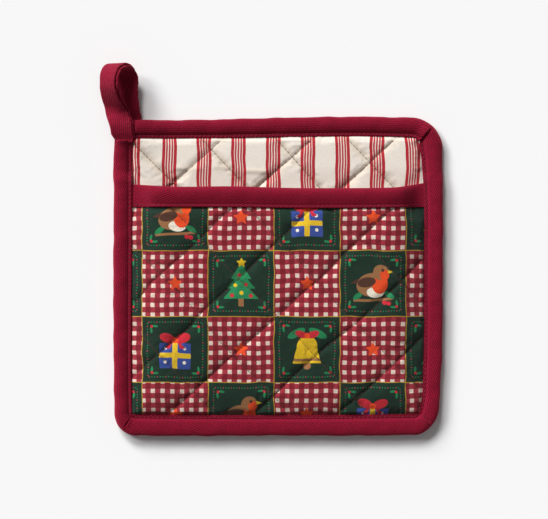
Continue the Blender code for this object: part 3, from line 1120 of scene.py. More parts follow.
@dataclass
class QuiltedPad:
    """A padded panel: top cloth blown up by the batting between its stitch lines.

    node is the CAD node that it stands for. columns and rows have the start, the end and
    the step of each stretch of the coarse grid, which is doubled once the cloth has
    settled. creases are rows of both ends' x and y, a height and a width.

    puff_reach is how far from a stitch line a cell is at its full height, and drag the
    height of the wrinkles beside it. pressure is the batting's push as the cloth settles,
    slack how much longer than its place the cloth is, and cap how far it may move.
    thinnest is the least thickness. surface has the finished grid's x and y, and the
    heights of its top.
    """

    name: str
    node: str
    slot: str
    lines: tuple[Table, ...]
    columns: Table
    rows: Table
    creases: Table = ()
    puff_reach: float = 5.0
    pressure: float = 2.5
    slack: float = 0.010
    cap: float = 0.9
    drag: float = 0.14
    thinnest: float = 0.4
    surface: tuple[Array, Array, Array] = field(init=False, repr=False)

    SCALE = 20.0  # the cloth settles this much larger, because it is steadier so
    FRAMES = 20
    CLOTH = {
        "quality": 6,
        "mass": 0.02,
        "tension_stiffness": 12.0,
        "compression_stiffness": 12.0,
        "shear_stiffness": 4.0,
        "bending_stiffness": 0.35,
        "air_damping": 2.0,
        "use_pressure": True,
    }
    SNAP = 0.52  # how near a stitch line a grid point is moved onto it, over the grid's step
    GROOVE = (0.42, 0.8)  # depth and width
    PUCKER = (0.16, 1.6)
    CHANNEL_REACH = 7.0  # how far from a stitch line the underside is drawn up
    SEAM_SHADE = 3.2  # how far from a stitch line its shade reaches
    CREASE_SHADE = 2.0  # what a crease of 1 mm adds to the shade

    @staticmethod
    def spaced(stretches: Table) -> Array:
        """Even places along stretches that follow one another."""
        parts = [np.linspace(a, b, int(round((b - a) / step)) + 1)[:-1] for a, b, step in stretches]
        return np.concatenate((*parts, [stretches[-1][1]]))

    def grid(self) -> tuple[Array, Array]:
        """Coarse flat grid, with the points nearest a stitch line moved onto it."""
        x, y = np.meshgrid(self.spaced(self.columns), self.spaced(self.rows))
        distance, nearest, _ = nearest_on_lines(self.lines, x, y)
        close = distance < self.SNAP * self.columns[0][2]
        close[[0, -1]] = False
        close[:, [0, -1]] = False
        return np.where(close, nearest[..., 0], x), np.where(close, nearest[..., 1], y)

    def puff(self, distance: Array) -> Array:
        """Rounded rise of a padded cell from its stitch line: a quarter of a sine wave."""
        return np.sin(np.pi / 2 * np.minimum(distance / self.puff_reach, 1.0))

    def heights(self, x: Array, y: Array, distance: Array) -> tuple[Array, Array]:
        """Underside and top of the panel before the cloth settles.

        Args:
            x, y: places.
            distance: how far each lies from a stitch line.

        Returns:
            Both heights at each place.
        """
        raise NotImplementedError

    def bound(self, y: Array) -> Array:
        """Where a binding of its own holds the cloth. A plain panel has none."""
        return np.zeros(y.shape, bool)

    def in_sight(self, y: Array) -> Array:
        """Where the quilting shows on the top."""
        raise NotImplementedError

    def settled(self, x: Array, y: Array, top: Array, pinned: Array) -> Array:
        """Lets the top cloth settle: held at its stitches, blown up and a little slack.

        Args:
            x, y, top: (rows, columns) places of the cloth before.
            pinned: where the cloth is held.

        Returns:
            (rows, columns, 3) places after, none more than the cap from where it was.
        """
        before = np.stack((x, y, top), -1)
        index = np.arange(x.size).reshape(x.shape)
        faces = np.stack((index[:-1, :-1], index[:-1, 1:], index[1:, 1:], index[1:, :-1]), -1)
        cloth = as_mesh("settling_cloth", before.reshape(-1, 3) * self.SCALE, faces.reshape(-1, 4))
        held = cloth.vertex_groups.new(name="held")
        held.add(np.flatnonzero(pinned).tolist(), 1.0, "REPLACE")
        settings = cloth.modifiers.new("Cloth", "CLOTH").settings
        for name, value in self.CLOTH.items():
            setattr(settings, name, value)
        settings.vertex_group_mass = held.name
        settings.shrink_min = -self.slack
        settings.uniform_pressure_force = self.pressure
        settings.effector_weights.gravity = 0.0
        for number in range(1, self.FRAMES + 1):
            bpy.context.scene.frame_set(number)
        graph = bpy.context.evaluated_depsgraph_get()
        after = np.empty(before.size, np.float32)
        cloth.evaluated_get(graph).data.vertices.foreach_get("co", after)
        after = after.reshape(before.shape).astype(float) / (self.SCALE * MM)
        bpy.context.scene.frame_set(1)
        mesh = cloth.data
        bpy.data.objects.remove(cloth)
        bpy.data.meshes.remove(mesh)
        moved = after - before
        far = np.linalg.norm(moved, axis=-1, keepdims=True)
        log.info("%s: cloth moved %.2f mm at most", self.name, far.max())
        return before + moved * np.minimum(1.0, self.cap / np.maximum(far, 1e-6))

    def build(self, finish: Material) -> Piece:
        """Builds the panel and dresses it.

        Args:
            finish: the cloth's material.

        Returns:
            The object.
        """
        x, y = self.grid()
        distance, _, _ = nearest_on_lines(self.lines, x, y)
        _, top = self.heights(x, y, distance)
        pinned = (distance < 0.05) | (OUTLINE.inside(x, y) < 0.5) | self.bound(y)
        cloth = doubled(self.settled(x, y, top, pinned))
        x, y = doubled(x), doubled(y)
        distance, _, along = nearest_on_lines(self.lines, x, y)
        under, _ = self.heights(x, y, distance)
        creased = self.creased(x, y)
        added = creased + self.dragged(x, y, distance) - self.stitched_in(distance, along)
        level = cloth[..., 2] + span(OUTLINE.inside(x, y), 0.0, 3.0) * added
        cloth[..., 2] = np.maximum(level, under + self.thinnest)
        self.surface = (x[0], y[:, 0], cloth[..., 2])
        sections = np.concatenate((cloth, np.dstack((x, y, under))[:, ::-1]), 1)
        flat = self.flat(x, y)
        flat = np.concatenate((flat, flat[:, ::-1]), 1)
        piece = skin(self.name, sections, flat)
        # Mask of the painted warm shade: highest at the stitch lines and along the creases.
        near_seam = np.minimum(bell(distance, self.SEAM_SHADE) + self.CREASE_SHADE * creased, 1.0)
        store(piece, "near_seam", np.concatenate((near_seam, near_seam[:, ::-1]), 1))
        self.mark(piece, flat)
        dress(piece, finish, self.node)
        return piece

    def flat(self, x: Array, y: Array) -> Array:
        """Flat cloth under a place: a slow ripple stands for what the sewing has drawn aside."""
        u = x + 0.3 * ripple(y + 0.35 * x, 31.0, 21)
        v = y + 0.3 * ripple(x - 0.3 * y, 37.0, 22)
        return np.stack((u, v), -1)

    def creased(self, x: Array, y: Array) -> Array:
        """Height that the creases add: a soft bell across each one's line."""
        added = np.zeros(x.shape)
        for x0, y0, x1, y1, height, width in self.creases:
            distance, _, _ = nearest_on_lines((((x0, y0), (x1, y1)),), x, y)
            added += height * bell(distance, width)
        return added

    def stitched_in(self, distance: Array, along: Array) -> Array:
        """How deep the stitches draw the cloth in: a narrow groove, deeper at each stitch."""
        stitch = 0.5 + 0.5 * np.cos(TURN * along / STITCH_PITCH)
        groove = self.GROOVE[0] * bell(distance, self.GROOVE[1])
        return groove + self.PUCKER[0] * stitch * bell(distance, self.PUCKER[1])

    def dragged(self, x: Array, y: Array, distance: Array) -> Array:
        """Soft wrinkles that the sewing drags up beside its lines: two crossing ripples."""
        wrinkles = ripple(0.8 * x + 0.6 * y, 9.0, 31) + ripple(0.8 * y - 0.6 * x, 12.0, 32)
        return self.drag * wrinkles * bell(distance, 6.0)

    def mark(self, piece: Piece, flat: Array) -> None:
        """Stores what the finish reads at each point. A plain panel has no more."""

    def stitch_rows(self, below: bool = False) -> Rows:
        """Places and directions of the quilting stitches.

        Args:
            below: whether the rows run under the pad instead of on its top, where the
                height is that of the nearest grid point.

        Returns:
            A row for each stitch line, as Stitches.build takes them.
        """
        columns, rows, top = self.surface
        made = []
        for line in self.lines:
            points = np.array(line, float)
            length = chords(points)
            x, y = between(length, points, np.arange(0.0, length[-1], 0.7)).T
            free = (OUTLINE.inside(x, y) > 0.8) & (below | self.in_sight(y))
            x, y = x[free], y[free]
            if len(x) < 4:
                continue
            if below:
                z, _ = self.heights(x, y, np.zeros(len(x)))
            else:
                z = top[nearest_index(rows, y), nearest_index(columns, x)]
            made.append(facing(np.column_stack((x, y, z)), -1.0 if below else 1.0))
        return made


@dataclass
class BackPad(QuiltedPad):
    """The back: ticking over batting, one layer above the mouth and hidden below it.

    crown and channel are the top's heights at a cell's middle and at a stitch line, and
    rise is how far from the binding they are reached, or rise_below on the underside.
    Between the two places of mouth_y they go over to those in the pocket, and above
    sight_y the stitches show.

    bend has two places across, the middle and the reach of the bow that the cloth is
    drawn into by the right edge, by bend_by. gathered is its shrinking there for each
    millimetre. left_drawn is how far the left edge draws it along left_x.
    """

    crown: float = 5.5
    crown_in_pocket: float = 4.9
    channel: float = 5.1
    channel_in_pocket: float = 3.4
    rise: float = 1.7
    rise_in_pocket: float = 15.7
    rise_below: float = 4.0
    mouth_y: tuple[float, float] = (60.0, 74.0)
    sight_y: float = 56.0
    bend: tuple[float, float, float, float] = (60.0, 90.0, 76.0, 13.0)
    bend_by: float = 1.9
    gathered: float = 0.02
    left_drawn: float = 1.3
    left_x: tuple[float, float] = (-80.0, -91.0)

    def heights(self, x: Array, y: Array, distance: Array) -> tuple[Array, Array]:
        """Flat underneath but for its channels, puffed on top, thin at the binding."""
        inside = OUTLINE.inside(x, y)
        covered = 1.0 - span(y, *self.mouth_y)
        crown = blend(self.crown, self.crown_in_pocket, covered)
        channel = blend(self.channel, self.channel_in_pocket, covered)
        edge_under, edge_top = LAYERS.back_edge
        under = edge_under * (1.0 - smooth(distance / self.CHANNEL_REACH) * smooth(inside / self.rise_below))
        full = blend(channel, crown, self.puff(distance))
        top = blend(edge_top, full, smooth(inside / blend(self.rise, self.rise_in_pocket, covered)))
        lifted = LAYERS.lift(x, y)
        return under + lifted, top + lifted

    def flat(self, x: Array, y: Array) -> Array:
        """Flat cloth under a place: it is drawn aside near the left edge, and in a bow by the right."""
        start, end, middle, reach = self.bend
        drawn = self.bend_by * span(x, start, end) * bell(y - middle, reach)
        drawn = drawn - self.gathered * np.maximum(x - start, 0.0) - self.left_drawn * span(x, *self.left_x)
        return super().flat(x - drawn, y)

    def in_sight(self, y: Array) -> Array:
        """The back shows above the mouth."""
        return y > self.sight_y


@dataclass
class PocketPad(QuiltedPad):
    """The pocket: printed calico over batting, arched over the back and open at its top.

    crown and channel are the cloth's thickness at a cell's middle and at a stitch line,
    and rise is how far from a binding they are reached, or rise_in_corner past corner_x
    and corner_y. channel_below is how far a stitch line draws the underside up.

    over_back and gape are how much the underside rises over the back's puffs and towards
    the mouth, and their reaches the distance from the edges (for gape, from the sides and
    from the bottom) where they do so in full. mouth_step is how much more it rises inside
    the mouth's binding, along notch_width from notch_y on. That binding covers the cloth
    from bound_y on, and the cloth is thin past thin_y. Its ends are pressed along
    pressed_x and pressed_y to pressed_levels, over the lowest one.
    """

    channel: float = 3.4
    crown: float = 4.3
    rise: float = 3.8
    rise_in_corner: float = 1.8
    corner_x: tuple[float, float] = (78.0, 90.0)
    corner_y: tuple[float, float] = (-70.0, -84.0)
    channel_below: float = 0.6
    over_back: float = 2.6
    over_back_reach: float = 16.0
    gape: float = 4.8
    gape_reach: tuple[float, float] = (25.0, 70.0)
    mouth_step: float = 1.3
    notch_y: float = 43.5
    notch_width: float = 1.6
    bound_y: float = 45.0
    thin_y: float = 45.8
    pressed_x: tuple[float, float] = (83.0, 99.6)
    pressed_y: tuple[float, float] = (35.0, 44.5)
    pressed_levels: tuple[float, float] = (0.75, 1.25)

    def under(self, x: Array, y: Array) -> Array:
        """Underside: rises over the back's puffs, and gapes towards the mouth."""
        side = OUTLINE.inner_half_width - 0.5 - np.abs(x)
        up = y - OUTLINE.inner_bottom
        gape = self.gape * smooth(side / self.gape_reach[0]) * smooth(up / self.gape_reach[1])
        over_back = self.over_back * smooth(np.minimum(side, up) / self.over_back_reach)
        step = self.mouth_step * smooth((y - self.notch_y) / self.notch_width)
        return LAYERS.pocket_edge[0] + step + over_back + gape

    def bound(self, y: Array) -> Array:
        """Where the mouth's binding holds the cloth."""
        return y > self.bound_y

    def in_sight(self, y: Array) -> Array:
        """The pocket shows below its binding."""
        return y < self.bound_y

    def pressed_end(self, x: Array) -> Array:
        """How flat the mouth's ends are pressed, where they run under the edge binding."""
        return span(np.abs(x), *self.pressed_x)

    def heights(self, x: Array, y: Array, distance: Array) -> tuple[Array, Array]:
        """Underside and top, thin at the edge binding and at the mouth's binding."""
        inside = np.minimum(OUTLINE.inside(x, y), self.thin_y - y)
        in_corner = np.maximum(span(x, *self.corner_x), span(y, *self.corner_y))
        free = smooth(inside / blend(self.rise, self.rise_in_corner, in_corner))
        base = self.under(x, y)
        lowest, highest = LAYERS.pocket_edge
        full = blend(self.channel, self.crown, self.puff(distance))
        under = base + self.channel_below * free * (1.0 - smooth(distance / self.CHANNEL_REACH))
        top = base + blend(highest - lowest, full, free)
        pressed = self.pressed_end(x) * span(y, *self.pressed_y)
        flat_under, flat_top = (lowest + level for level in self.pressed_levels)
        return blend(under, flat_under, pressed), blend(top, flat_top, pressed)

    def mark(self, piece: Piece, flat: Array) -> None:
        """Stores the signed distances of the print's inks."""
        for ink, distance in Patchwork().fields(flat[..., 0], flat[..., 1]).items():
            store(piece, ink.stored_as, distance)


@dataclass(frozen=True)
class Sewing:
    """What the sewing adds to the height of a folded strip.

    seam is the topstitches' share of the strip's width inward, and groove the depth and
    the reach of what they draw in. ripples has the height, the wavelength and the seed
    of those along the roll, which ends at roll_end. puckers has the height, the place
    and the reach of those that the stitches make beside the lip.
    """

    seam: float
    groove: tuple[float, float]
    puckers: tuple[float, float, float]
    ripples: tuple[float, float, int]
    roll_end: float

    EVEN = 1.4  # the groove between stitches, over what it gains and loses by them

    def added(self, share: Array, along: Array, shift: Array | float = 0.0) -> Array:
        """Height that the sewing adds.

        Args:
            share: shares of the strip's width inward.
            along: places along the strip.
            shift: how far the ripples are moved along it.

        Returns:
            The height at each share and place.
        """
        height, wavelength, seed = self.ripples
        roll = np.sin(np.pi * np.clip(share / self.roll_end, 0.0, 1.0))
        rippled = height * roll * ripple(along + shift, wavelength, seed)
        stitch = np.cos(TURN * along / STITCH_PITCH)
        height, place, reach = self.puckers
        puckered = height * stitch * bell(share - place, reach)
        depth, reach = self.groove
        return rippled + puckered - depth * (self.EVEN + stitch) * bell(share - self.seam, reach)


@dataclass
class Binding:
    """Twill strip that is folded over an edge and topstitched.

    section has, for each point from the lower lip round the roll to the upper one, its
    share of the strip's width inward, its height and one value more. slit goes on round
    the slit that holds the cloth. stretches has the start, the end and the number of
    points of each stretch of the section, in shares of its length. seam is the finished
    strip's line of topstitches, which lies over the height least.
    """

    section: Table
    slit: Table
    stretches: tuple[tuple[float, float, int], ...]
    width: float
    least: float
    sewing: Sewing
    seam: Array = field(init=False, repr=False)

    THREAD_LIFT = (0.0, 0.0, 0.1)

    def outside(self) -> Array:
        """Smooth curve through the section, read at places along its own length."""
        rows = np.array(self.section)
        length = chords(rows[:, :2] * (self.width, 1.0))
        at = [np.linspace(a, b, n, endpoint=False) for a, b, n in self.stretches]
        return through(np.column_stack((length / length[-1], rows)), np.concatenate((*at, [1.0])))

    def seam_of(self, sections: Array, outside: Array) -> Array:
        """Line of the points nearest the seam's share of the width, on the upper side."""
        share, height = outside[:, 0], outside[:, 1]
        return sections[:, np.argmin(np.where(height < self.least, np.inf, np.abs(share - self.sewing.seam)))]


@dataclass
class EdgeBinding(Binding):
    """The strip round the whole edge, with folded corners.

    The section's third value is the share of the pocket's missing layer that a point
    sinks by above the mouth.

    full_height and flange_drop are for the four sides: the share of the roll's height
    over roll_level that is kept, and how far the flat part by the lip is lowered, though
    it stays least_cloth over the slit. pressed is the share of the height over the slit
    that is lost above left_end_y, where the binding runs under the loop. ring has the
    strip's stations.
    """

    section: Table = (
        (0.985, 0.05, 0.0),
        (0.60, 0.05, 0.0),
        (0.25, 0.05, 0.0),
        (0.08, 0.9, 0.0),
        (0.0, 3.4, 0.3),
        (0.012, 5.2, 0.55),
        (0.055, 6.75, 0.7),
        (0.15, 8.1, 0.8),
        (0.26, 8.75, 0.85),
        (0.37, 8.98, 0.85),
        (0.47, 8.9, 0.85),
        (0.57, 8.6, 0.85),
        (0.67, 8.1, 0.85),
        (0.74, 7.6, 0.9),
        (0.79, 7.05, 0.95),
        (0.82, 6.8, 1.0),
        (0.85, 6.85, 1.0),
        (0.90, 7.0, 1.0),
        (0.955, 6.95, 1.0),
        (0.985, 6.75, 1.0),
        (1.0, 6.3, 1.0),
    )
    slit: Table = ((1.0, 5.9, 1.0), (0.42, 5.9, 1.0), (0.42, 1.2, 0.0), (1.0, 1.2, 0.0), (1.0, 0.5, 0.0))
    stretches: tuple[tuple[float, float, int], ...] = ((0.0, 0.36, 7), (0.36, 0.84, 24), (0.84, 1.0, 20))
    width: float = 12.0
    least: float = 4.0
    sewing: Sewing = Sewing(
        seam=0.865, groove=(0.15, 0.022), puckers=(0.2, 0.94, 0.05), ripples=(0.28, 23.0, 3), roll_end=0.8
    )
    pressed: float = 0.75
    left_end_y: float = 91.2
    roll_level: float = 7.3
    full_height: tuple[float, ...] = (0.5, 1.0, 1.0, 0.5)
    flange_drop: tuple[float, ...] = (0.75, 0.0, 0.0, 0.85)
    least_cloth: float = 0.2
    ring: Ring = field(init=False, repr=False)

    STRAIGHT = 0.25  # share of the way round a corner that the topstitches still run
    SIDE_SHIFT = 37.0  # so that no two sides ripple alike
    FLANGE = (0.66, 0.82)  # shares of the width between which the roll ends
    FOLD_REACH = 0.22
    SLIT_ASIDE = 0.012
    LEFT_END = (1.3, 3.2)  # height and reach of the left binding's raised end
    LOOP_X = (-95.0, -96.2)  # the strip's top lies free up to the first and pressed from the second
    SEWN_TO = (-97.0, 90.5)  # where the topstitches of the top and of the left side end

    def build(self, finish: Material) -> Piece:
        """Sweeps the section round the outline and works in its folds and puckers.

        Args:
            finish: the twill's material.

        Returns:
            The object.
        """
        self.ring = ring = Ring.around(OUTLINE)
        outside = self.outside()
        share, height, sinks = np.concatenate((outside, np.array(self.slit))).T
        place = blend(ring.outer[:, None], ring.inner[:, None], share[:, None])
        x, y = place[..., 0], place[..., 1]
        missing = LAYERS.missing(y)
        roof = LAYERS.roof - missing
        level = height - sinks * missing
        above = level > roof + 0.01
        under_loop = self.pressed * span(x, *self.LOOP_X) * (y > self.left_end_y)
        level = np.where(above, blend(level, roof, under_loop), level)
        full, drop = (np.array(sides)[ring.side][:, None] for sides in (self.full_height, self.flange_drop))
        flange = span(share, *self.FLANGE)
        lost = np.maximum(level - self.roll_level, 0.0) * (1.0 - full) * (1.0 - flange)
        level = level - np.where(above, lost + drop * flange, 0.0)
        upper = above & (np.arange(len(share)) < len(outside))
        worked = np.maximum(level + self.worked_in(share, x, y), roof + self.least_cloth)
        level = np.where(upper, worked, level)
        sections = np.dstack((x, y, level + LAYERS.lift(x, y)))
        self.seam = self.seam_of(sections, outside)
        piece = skin("edge_binding_twill", sections, self.flat(sections))
        dress(piece, finish, "edge_binding")
        return piece

    def worked_in(self, share: Array, x: Array, y: Array) -> Array:
        """What the sewing, the folded corners and the left side's raised end add.

        Args:
            share: (n,) shares of the width.
            x, y: (stations, n) places, of which x is not used.

        Returns:
            (stations, n) heights.
        """
        ring = self.ring
        along = np.where(ring.side % 2 == 0, ring.outer[:, 1], ring.outer[:, 0])[:, None]
        added = self.sewing.added(share, along, self.SIDE_SHIFT * ring.side[:, None])
        off = ring.way[:, None] - 0.5
        for number, corner in enumerate(OUTLINE.corners):
            here = (ring.corner == number)[:, None]
            reach = span(share, corner.slit_reach * 0.5, corner.slit_reach + 0.2)
            raised = np.where(off > 0.0, corner.raise_after, corner.raise_before)
            raised = raised * bell(off, self.FOLD_REACH)
            aside = self.SLIT_ASIDE * np.sign(corner.raise_after - corner.raise_before)
            slit = corner.slit * bell(off + aside, corner.slit_width)
            added = added + reach * np.where(here, raised - slit, 0.0)
        left = (ring.side == 2)[:, None] & (y <= self.left_end_y)
        left_end = self.LEFT_END[0] * bell(y - self.left_end_y, self.LEFT_END[1]) * span(share, 0.0, 0.25)
        return added + np.where(left, left_end, 0.0)

    def flat(self, sections: Array) -> Array:
        """Flat coordinates of each stretch between sections, unrolled by its own side.

        Along the strip runs the place along the side. Across it runs the length round
        the section from the upper lip, times how squarely the section crosses the side.

        Args:
            sections: (stations, n, 3) places.

        Returns:
            (stations, 2, n, 2) coordinates, as skin takes them.
        """
        around = round_each(sections)
        around -= around[:, -1 - len(self.slit), None]
        crossing = unit(self.ring.inner - self.ring.outer)
        run = RUNS[self.ring.side]
        made = []
        for ahead in (0, 1):
            end, length, cross = (np.roll(part, -ahead, 0) for part in (sections, around, crossing))
            u = np.einsum("sjk,sk->sj", end[..., :2], run)
            square = np.sqrt(np.maximum(1.0 - np.einsum("sk,sk->s", cross, run) ** 2, 0.05))
            made.append(np.stack((u, length * square[:, None]), -1))
        return np.stack(made, 1)

    def stitch_rows(self) -> Rows:
        """Places and directions of the topstitches, a row for each side.

        They end short of the loop on the two sides that it lies on.
        """
        ring = self.ring
        straight = (ring.corner < 0) | (np.abs(ring.way - 0.5) > self.STRAIGHT)
        free = (ring.side != 1) | (self.seam[:, 0] > self.SEWN_TO[0])
        free &= (ring.side != 2) | (self.seam[:, 1] < self.SEWN_TO[1])
        made = []
        for side in range(4):
            places = self.seam[straight & free & (ring.side == side)]
            order = np.argsort(places @ (*RUNS[side], 0.0))
            made.append(facing(places[order] + self.THREAD_LIFT))
        return made


@dataclass
class MouthBinding(Binding):
    """The strip over the pocket's mouth.

    Its heights are over the panel's underside, and the section's third value is the
    height where its ends are pressed flat inside the edge binding. mouth has, for places
    along it, the upper and the lower edge of the binding.
    """

    mouth: Table = (
        (-98.0, 61.6, 46.2),
        (-74.0, 59.9, 46.0),
        (-28.0, 59.9, 45.9),
        (6.0, 58.9, 45.3),
        (45.0, 58.7, 45.3),
        (66.0, 58.9, 45.5),
        (81.0, 59.5, 45.7),
        (91.0, 61.2, 46.0),
        (98.0, 62.4, 46.3),
    )
    section: Table = (
        (0.99, -1.2, 0.0),
        (0.60, -1.3, 0.0),
        (0.22, -1.3, 0.0),
        (0.06, -0.6, 0.2),
        (0.0, 1.0, 1.0),
        (0.04, 3.1, 1.7),
        (0.15, 4.5, 1.9),
        (0.30, 5.05, 2.0),
        (0.42, 5.0, 2.0),
        (0.55, 4.7, 2.0),
        (0.67, 4.2, 2.0),
        (0.76, 3.8, 2.0),
        (0.83, 3.4, 2.0),
        (0.86, 3.3, 2.0),
        (0.90, 3.45, 2.0),
        (0.95, 3.5, 2.0),
        (0.985, 3.3, 2.0),
        (1.0, 2.9, 2.0),
    )
    slit: Table = ((1.0, 2.5, 1.3), (0.22, 2.5, 1.3), (0.22, -0.4, 0.7), (1.0, -0.4, 0.7))
    stretches: tuple[tuple[float, float, int], ...] = ((0.0, 0.36, 7), (0.36, 0.84, 23), (0.84, 1.0, 17))
    width: float = 13.5
    least: float = 1.0
    sewing: Sewing = Sewing(
        seam=0.89, groove=(0.12, 0.02), puckers=(0.16, 0.95, 0.04), ripples=(0.25, 27.0, 8), roll_end=0.78
    )
    reach: float = 100.6
    stations: int = 262

    UNSEWN = 6  # stations at each end, under the edge binding

    def build(self, pocket: PocketPad, finish: Material) -> Piece:
        """Sweeps the section along the mouth, over the pocket's arch.

        Args:
            pocket: the pad that it holds.
            finish: the twill's material.

        Returns:
            The object.
        """
        along = np.linspace(-self.reach, self.reach, self.stations)
        upper, lower = through(self.mouth, along).T[..., None]
        outside = self.outside()
        steps = np.linspace(0.0, 1.0, len(self.slit))
        inside = between(steps, np.array(self.slit), np.linspace(0.0, 1.0, len(outside)))
        share, height, pressed = np.concatenate((outside, inside)).T
        x = np.repeat(along[:, None], len(share), 1)
        y = blend(upper, lower, share)
        full = pocket.under(x, np.maximum(y, pocket.notch_y + pocket.notch_width)) + height
        outer_part = (np.arange(len(share)) < len(outside)) & (height > self.least)
        full = full + np.where(outer_part, self.sewing.added(share, x), 0.0)
        level = blend(full, LAYERS.pocket_edge[0] + pressed, pocket.pressed_end(x))
        sections = np.dstack((x, y, level))
        self.seam = self.seam_of(sections, outside)
        piece = skin("pocket_binding_twill", sections, np.dstack((x, -round_each(sections))))
        dress(piece, finish, "pocket_binding")
        return piece

    def stitch_rows(self) -> Rows:
        """Places and directions of the topstitches, in one row."""
        return [facing(self.seam[self.UNSEWN : -self.UNSEWN] + self.THREAD_LIFT)]


@dataclass
class HangingLoop:
    """Twill tape, folded in two and stitched, bent into a loop over the corner.

    The legs have the tape's middle, the lean of its width in degrees and its thickness.
    The turn between them twists from the upper leg's lean to the lower leg's, and moves
    aside by turn_shift. fold_u, outer_edge and inner_edge are places across the tape:
    the leaf inside the loop is wider than the outer one, so that its edge shows beside
    it. stitch_u is the seam's place, groove its depth and reach, and pucker what each
    stitch adds to it. uneven is how much the edges waver. The upper leg's end is narrowed
    by tuck along tuck_y. seam holds the seam's places and directions.
    """

    fold_u: float = -7.5
    outer_edge: float = 7.0
    inner_edge: float = 8.2
    thickness: float = 3.0
    turn_centre: tuple[float, float, float] = (-105.5, 130.2, 12.2)
    turn_radius: float = 10.5
    turn_shift: float = -2.7
    turn_steps: int = 10
    upper_leg: Table = (
        (-103.9, 89.6, 7.6, 0.0, 1.3),
        (-103.9, 92.0, 7.9, 0.0, 1.6),
        (-104.2, 96.4, 9.4, 0.0, 2.4),
        (-104.9, 101.0, 10.1, 0.0, 2.6),
        (-106.2, 105.2, 9.3, 3.0, 2.8),
        (-107.9, 109.6, 8.3, 12.0, 3.0),
        (-109.3, 114.0, 9.3, 24.0, 3.0),
        (-110.6, 117.6, 12.3, 32.0, 3.0),
        (-111.6, 121.4, 15.9, 38.0, 3.0),
        (-112.4, 126.0, 19.2, 42.0, 3.0),
    )
    lower_leg: Table = (
        (-101.5, 125.0, 3.9, 12.0, 3.0),
        (-101.2, 118.0, 3.5, 10.0, 3.0),
        (-100.7, 111.5, 2.7, 7.0, 2.8),
        (-99.9, 106.0, 1.6, 2.0, 2.0),
        (-99.8, 98.5, 1.1, 0.0, 1.6),
    )
    stations: int = 230
    slit_half: float = 0.14
    stitch_u: float = 5.2
    groove: tuple[float, float] = (0.16, 0.6)
    uneven: float = 0.2
    pucker: float = 0.08
    tuck: float = 0.15
    tuck_y: tuple[float, float] = (96.0, 90.5)
    seam: tuple[Array, Array] = field(init=False, repr=False)

    DENSE = 900  # points of the curve that the even stations are taken from
    UNSEWN = 18  # stations at each end, which lie under other cloth
    EDGE_POINTS = 9
    LEAF_POINTS = 22

    def route(self) -> Array:
        """The tape's way from the upper end to the lower.

        The turn is half a circle in a plane that leans as the upper leg does.

        Returns:
            Rows of x, y, z, lean and thickness.
        """
        first, last = self.upper_leg[-1][3], self.lower_leg[0][3]
        lean = math.radians(first)
        away = np.array((-math.sin(lean), 0.0, math.cos(lean)))
        share = np.linspace(0.0, 1.0, self.turn_steps + 1)[:, None]
        angle = math.pi * share
        ahead = np.array((0.0, 1.0, 0.0)) * np.sin(angle)
        turn = np.array(self.turn_centre) + self.turn_radius * (ahead + away * np.cos(angle))
        turn = turn + smooth(share) * (self.turn_shift, 0.0, 0.0)
        turn = np.column_stack((turn, blend(first, last, share), np.full(len(turn), self.thickness)))
        return np.concatenate((np.array(self.upper_leg), turn, np.array(self.lower_leg)))

    def build(self, finish: Material) -> Piece:
        """Sweeps the folded tape's section along its route.

        Args:
            finish: the twill's material.

        Returns:
            The object.
        """
        rows = self.route()
        numbered = np.column_stack((np.arange(len(rows)), rows))
        dense = through(numbered, np.linspace(0.0, len(rows) - 1.0, self.DENSE))
        length = chords(dense[:, :3])
        along = np.linspace(0.0, length[-1], self.stations)
        dense = between(length, dense, along)
        middle, lean, side = dense[:, :3], np.radians(dense[:, 3]), dense[:, 4:] / 2
        ahead = unit(np.gradient(middle, axis=0))
        across = np.stack((np.cos(lean), np.zeros(len(lean)), np.sin(lean)), 1)
        across = unit(across - ahead * np.einsum("sk,sk->s", across, ahead)[:, None])
        inward = np.cross(ahead, across)
        u, v, run = self.section()
        upper_end = span(middle[:, 1:2], *self.tuck_y) * (middle[:, 2:] > 5.0)
        u = blend(u, self.inner_edge, self.tuck * upper_end)
        pucker = self.pucker * np.cos(TURN * along / STITCH_PITCH)[:, None]
        v = np.sign(v) * np.maximum(np.abs(v) * side, self.slit_half)
        depth, reach = self.groove
        seam = bell(u - self.stitch_u, reach) * (np.abs(v) > 0.5 * side) * np.minimum(side / 1.4, 1.0)
        v = v - np.sign(v) * seam * (depth + pucker)
        u = u + (self.uneven * ripple(along[:, None], 9.0, 5) + pucker) * (u > 6.0)
        sections = middle[:, None] + across[:, None] * u[..., None] + inward[:, None] * v[..., None]
        places = middle + across * self.stitch_u - inward * (side - 0.2)
        self.seam = (places[self.UNSEWN : -self.UNSEWN], -inward[self.UNSEWN : -self.UNSEWN])
        piece = skin("hanging_loop_twill", sections, np.dstack(np.meshgrid(along, run, indexing="ij")))
        dress(piece, finish, "hanging_loop")
        return piece

    def leaf(self, edge_u: float) -> Array:
        """One leaf from its rounded edge to the fold: place across, and in half thicknesses."""
        turn = np.radians(np.linspace(-150.0, 90.0, self.EDGE_POINTS))
        edge = np.stack((edge_u - 0.72 + 0.72 * np.cos(turn), 0.54 + 0.46 * np.sin(turn)), 1)
        level = np.linspace(edge_u - 1.4, self.fold_u + 1.2, self.LEAF_POINTS)
        return np.concatenate((edge, np.stack((level, np.ones(len(level))), 1)))

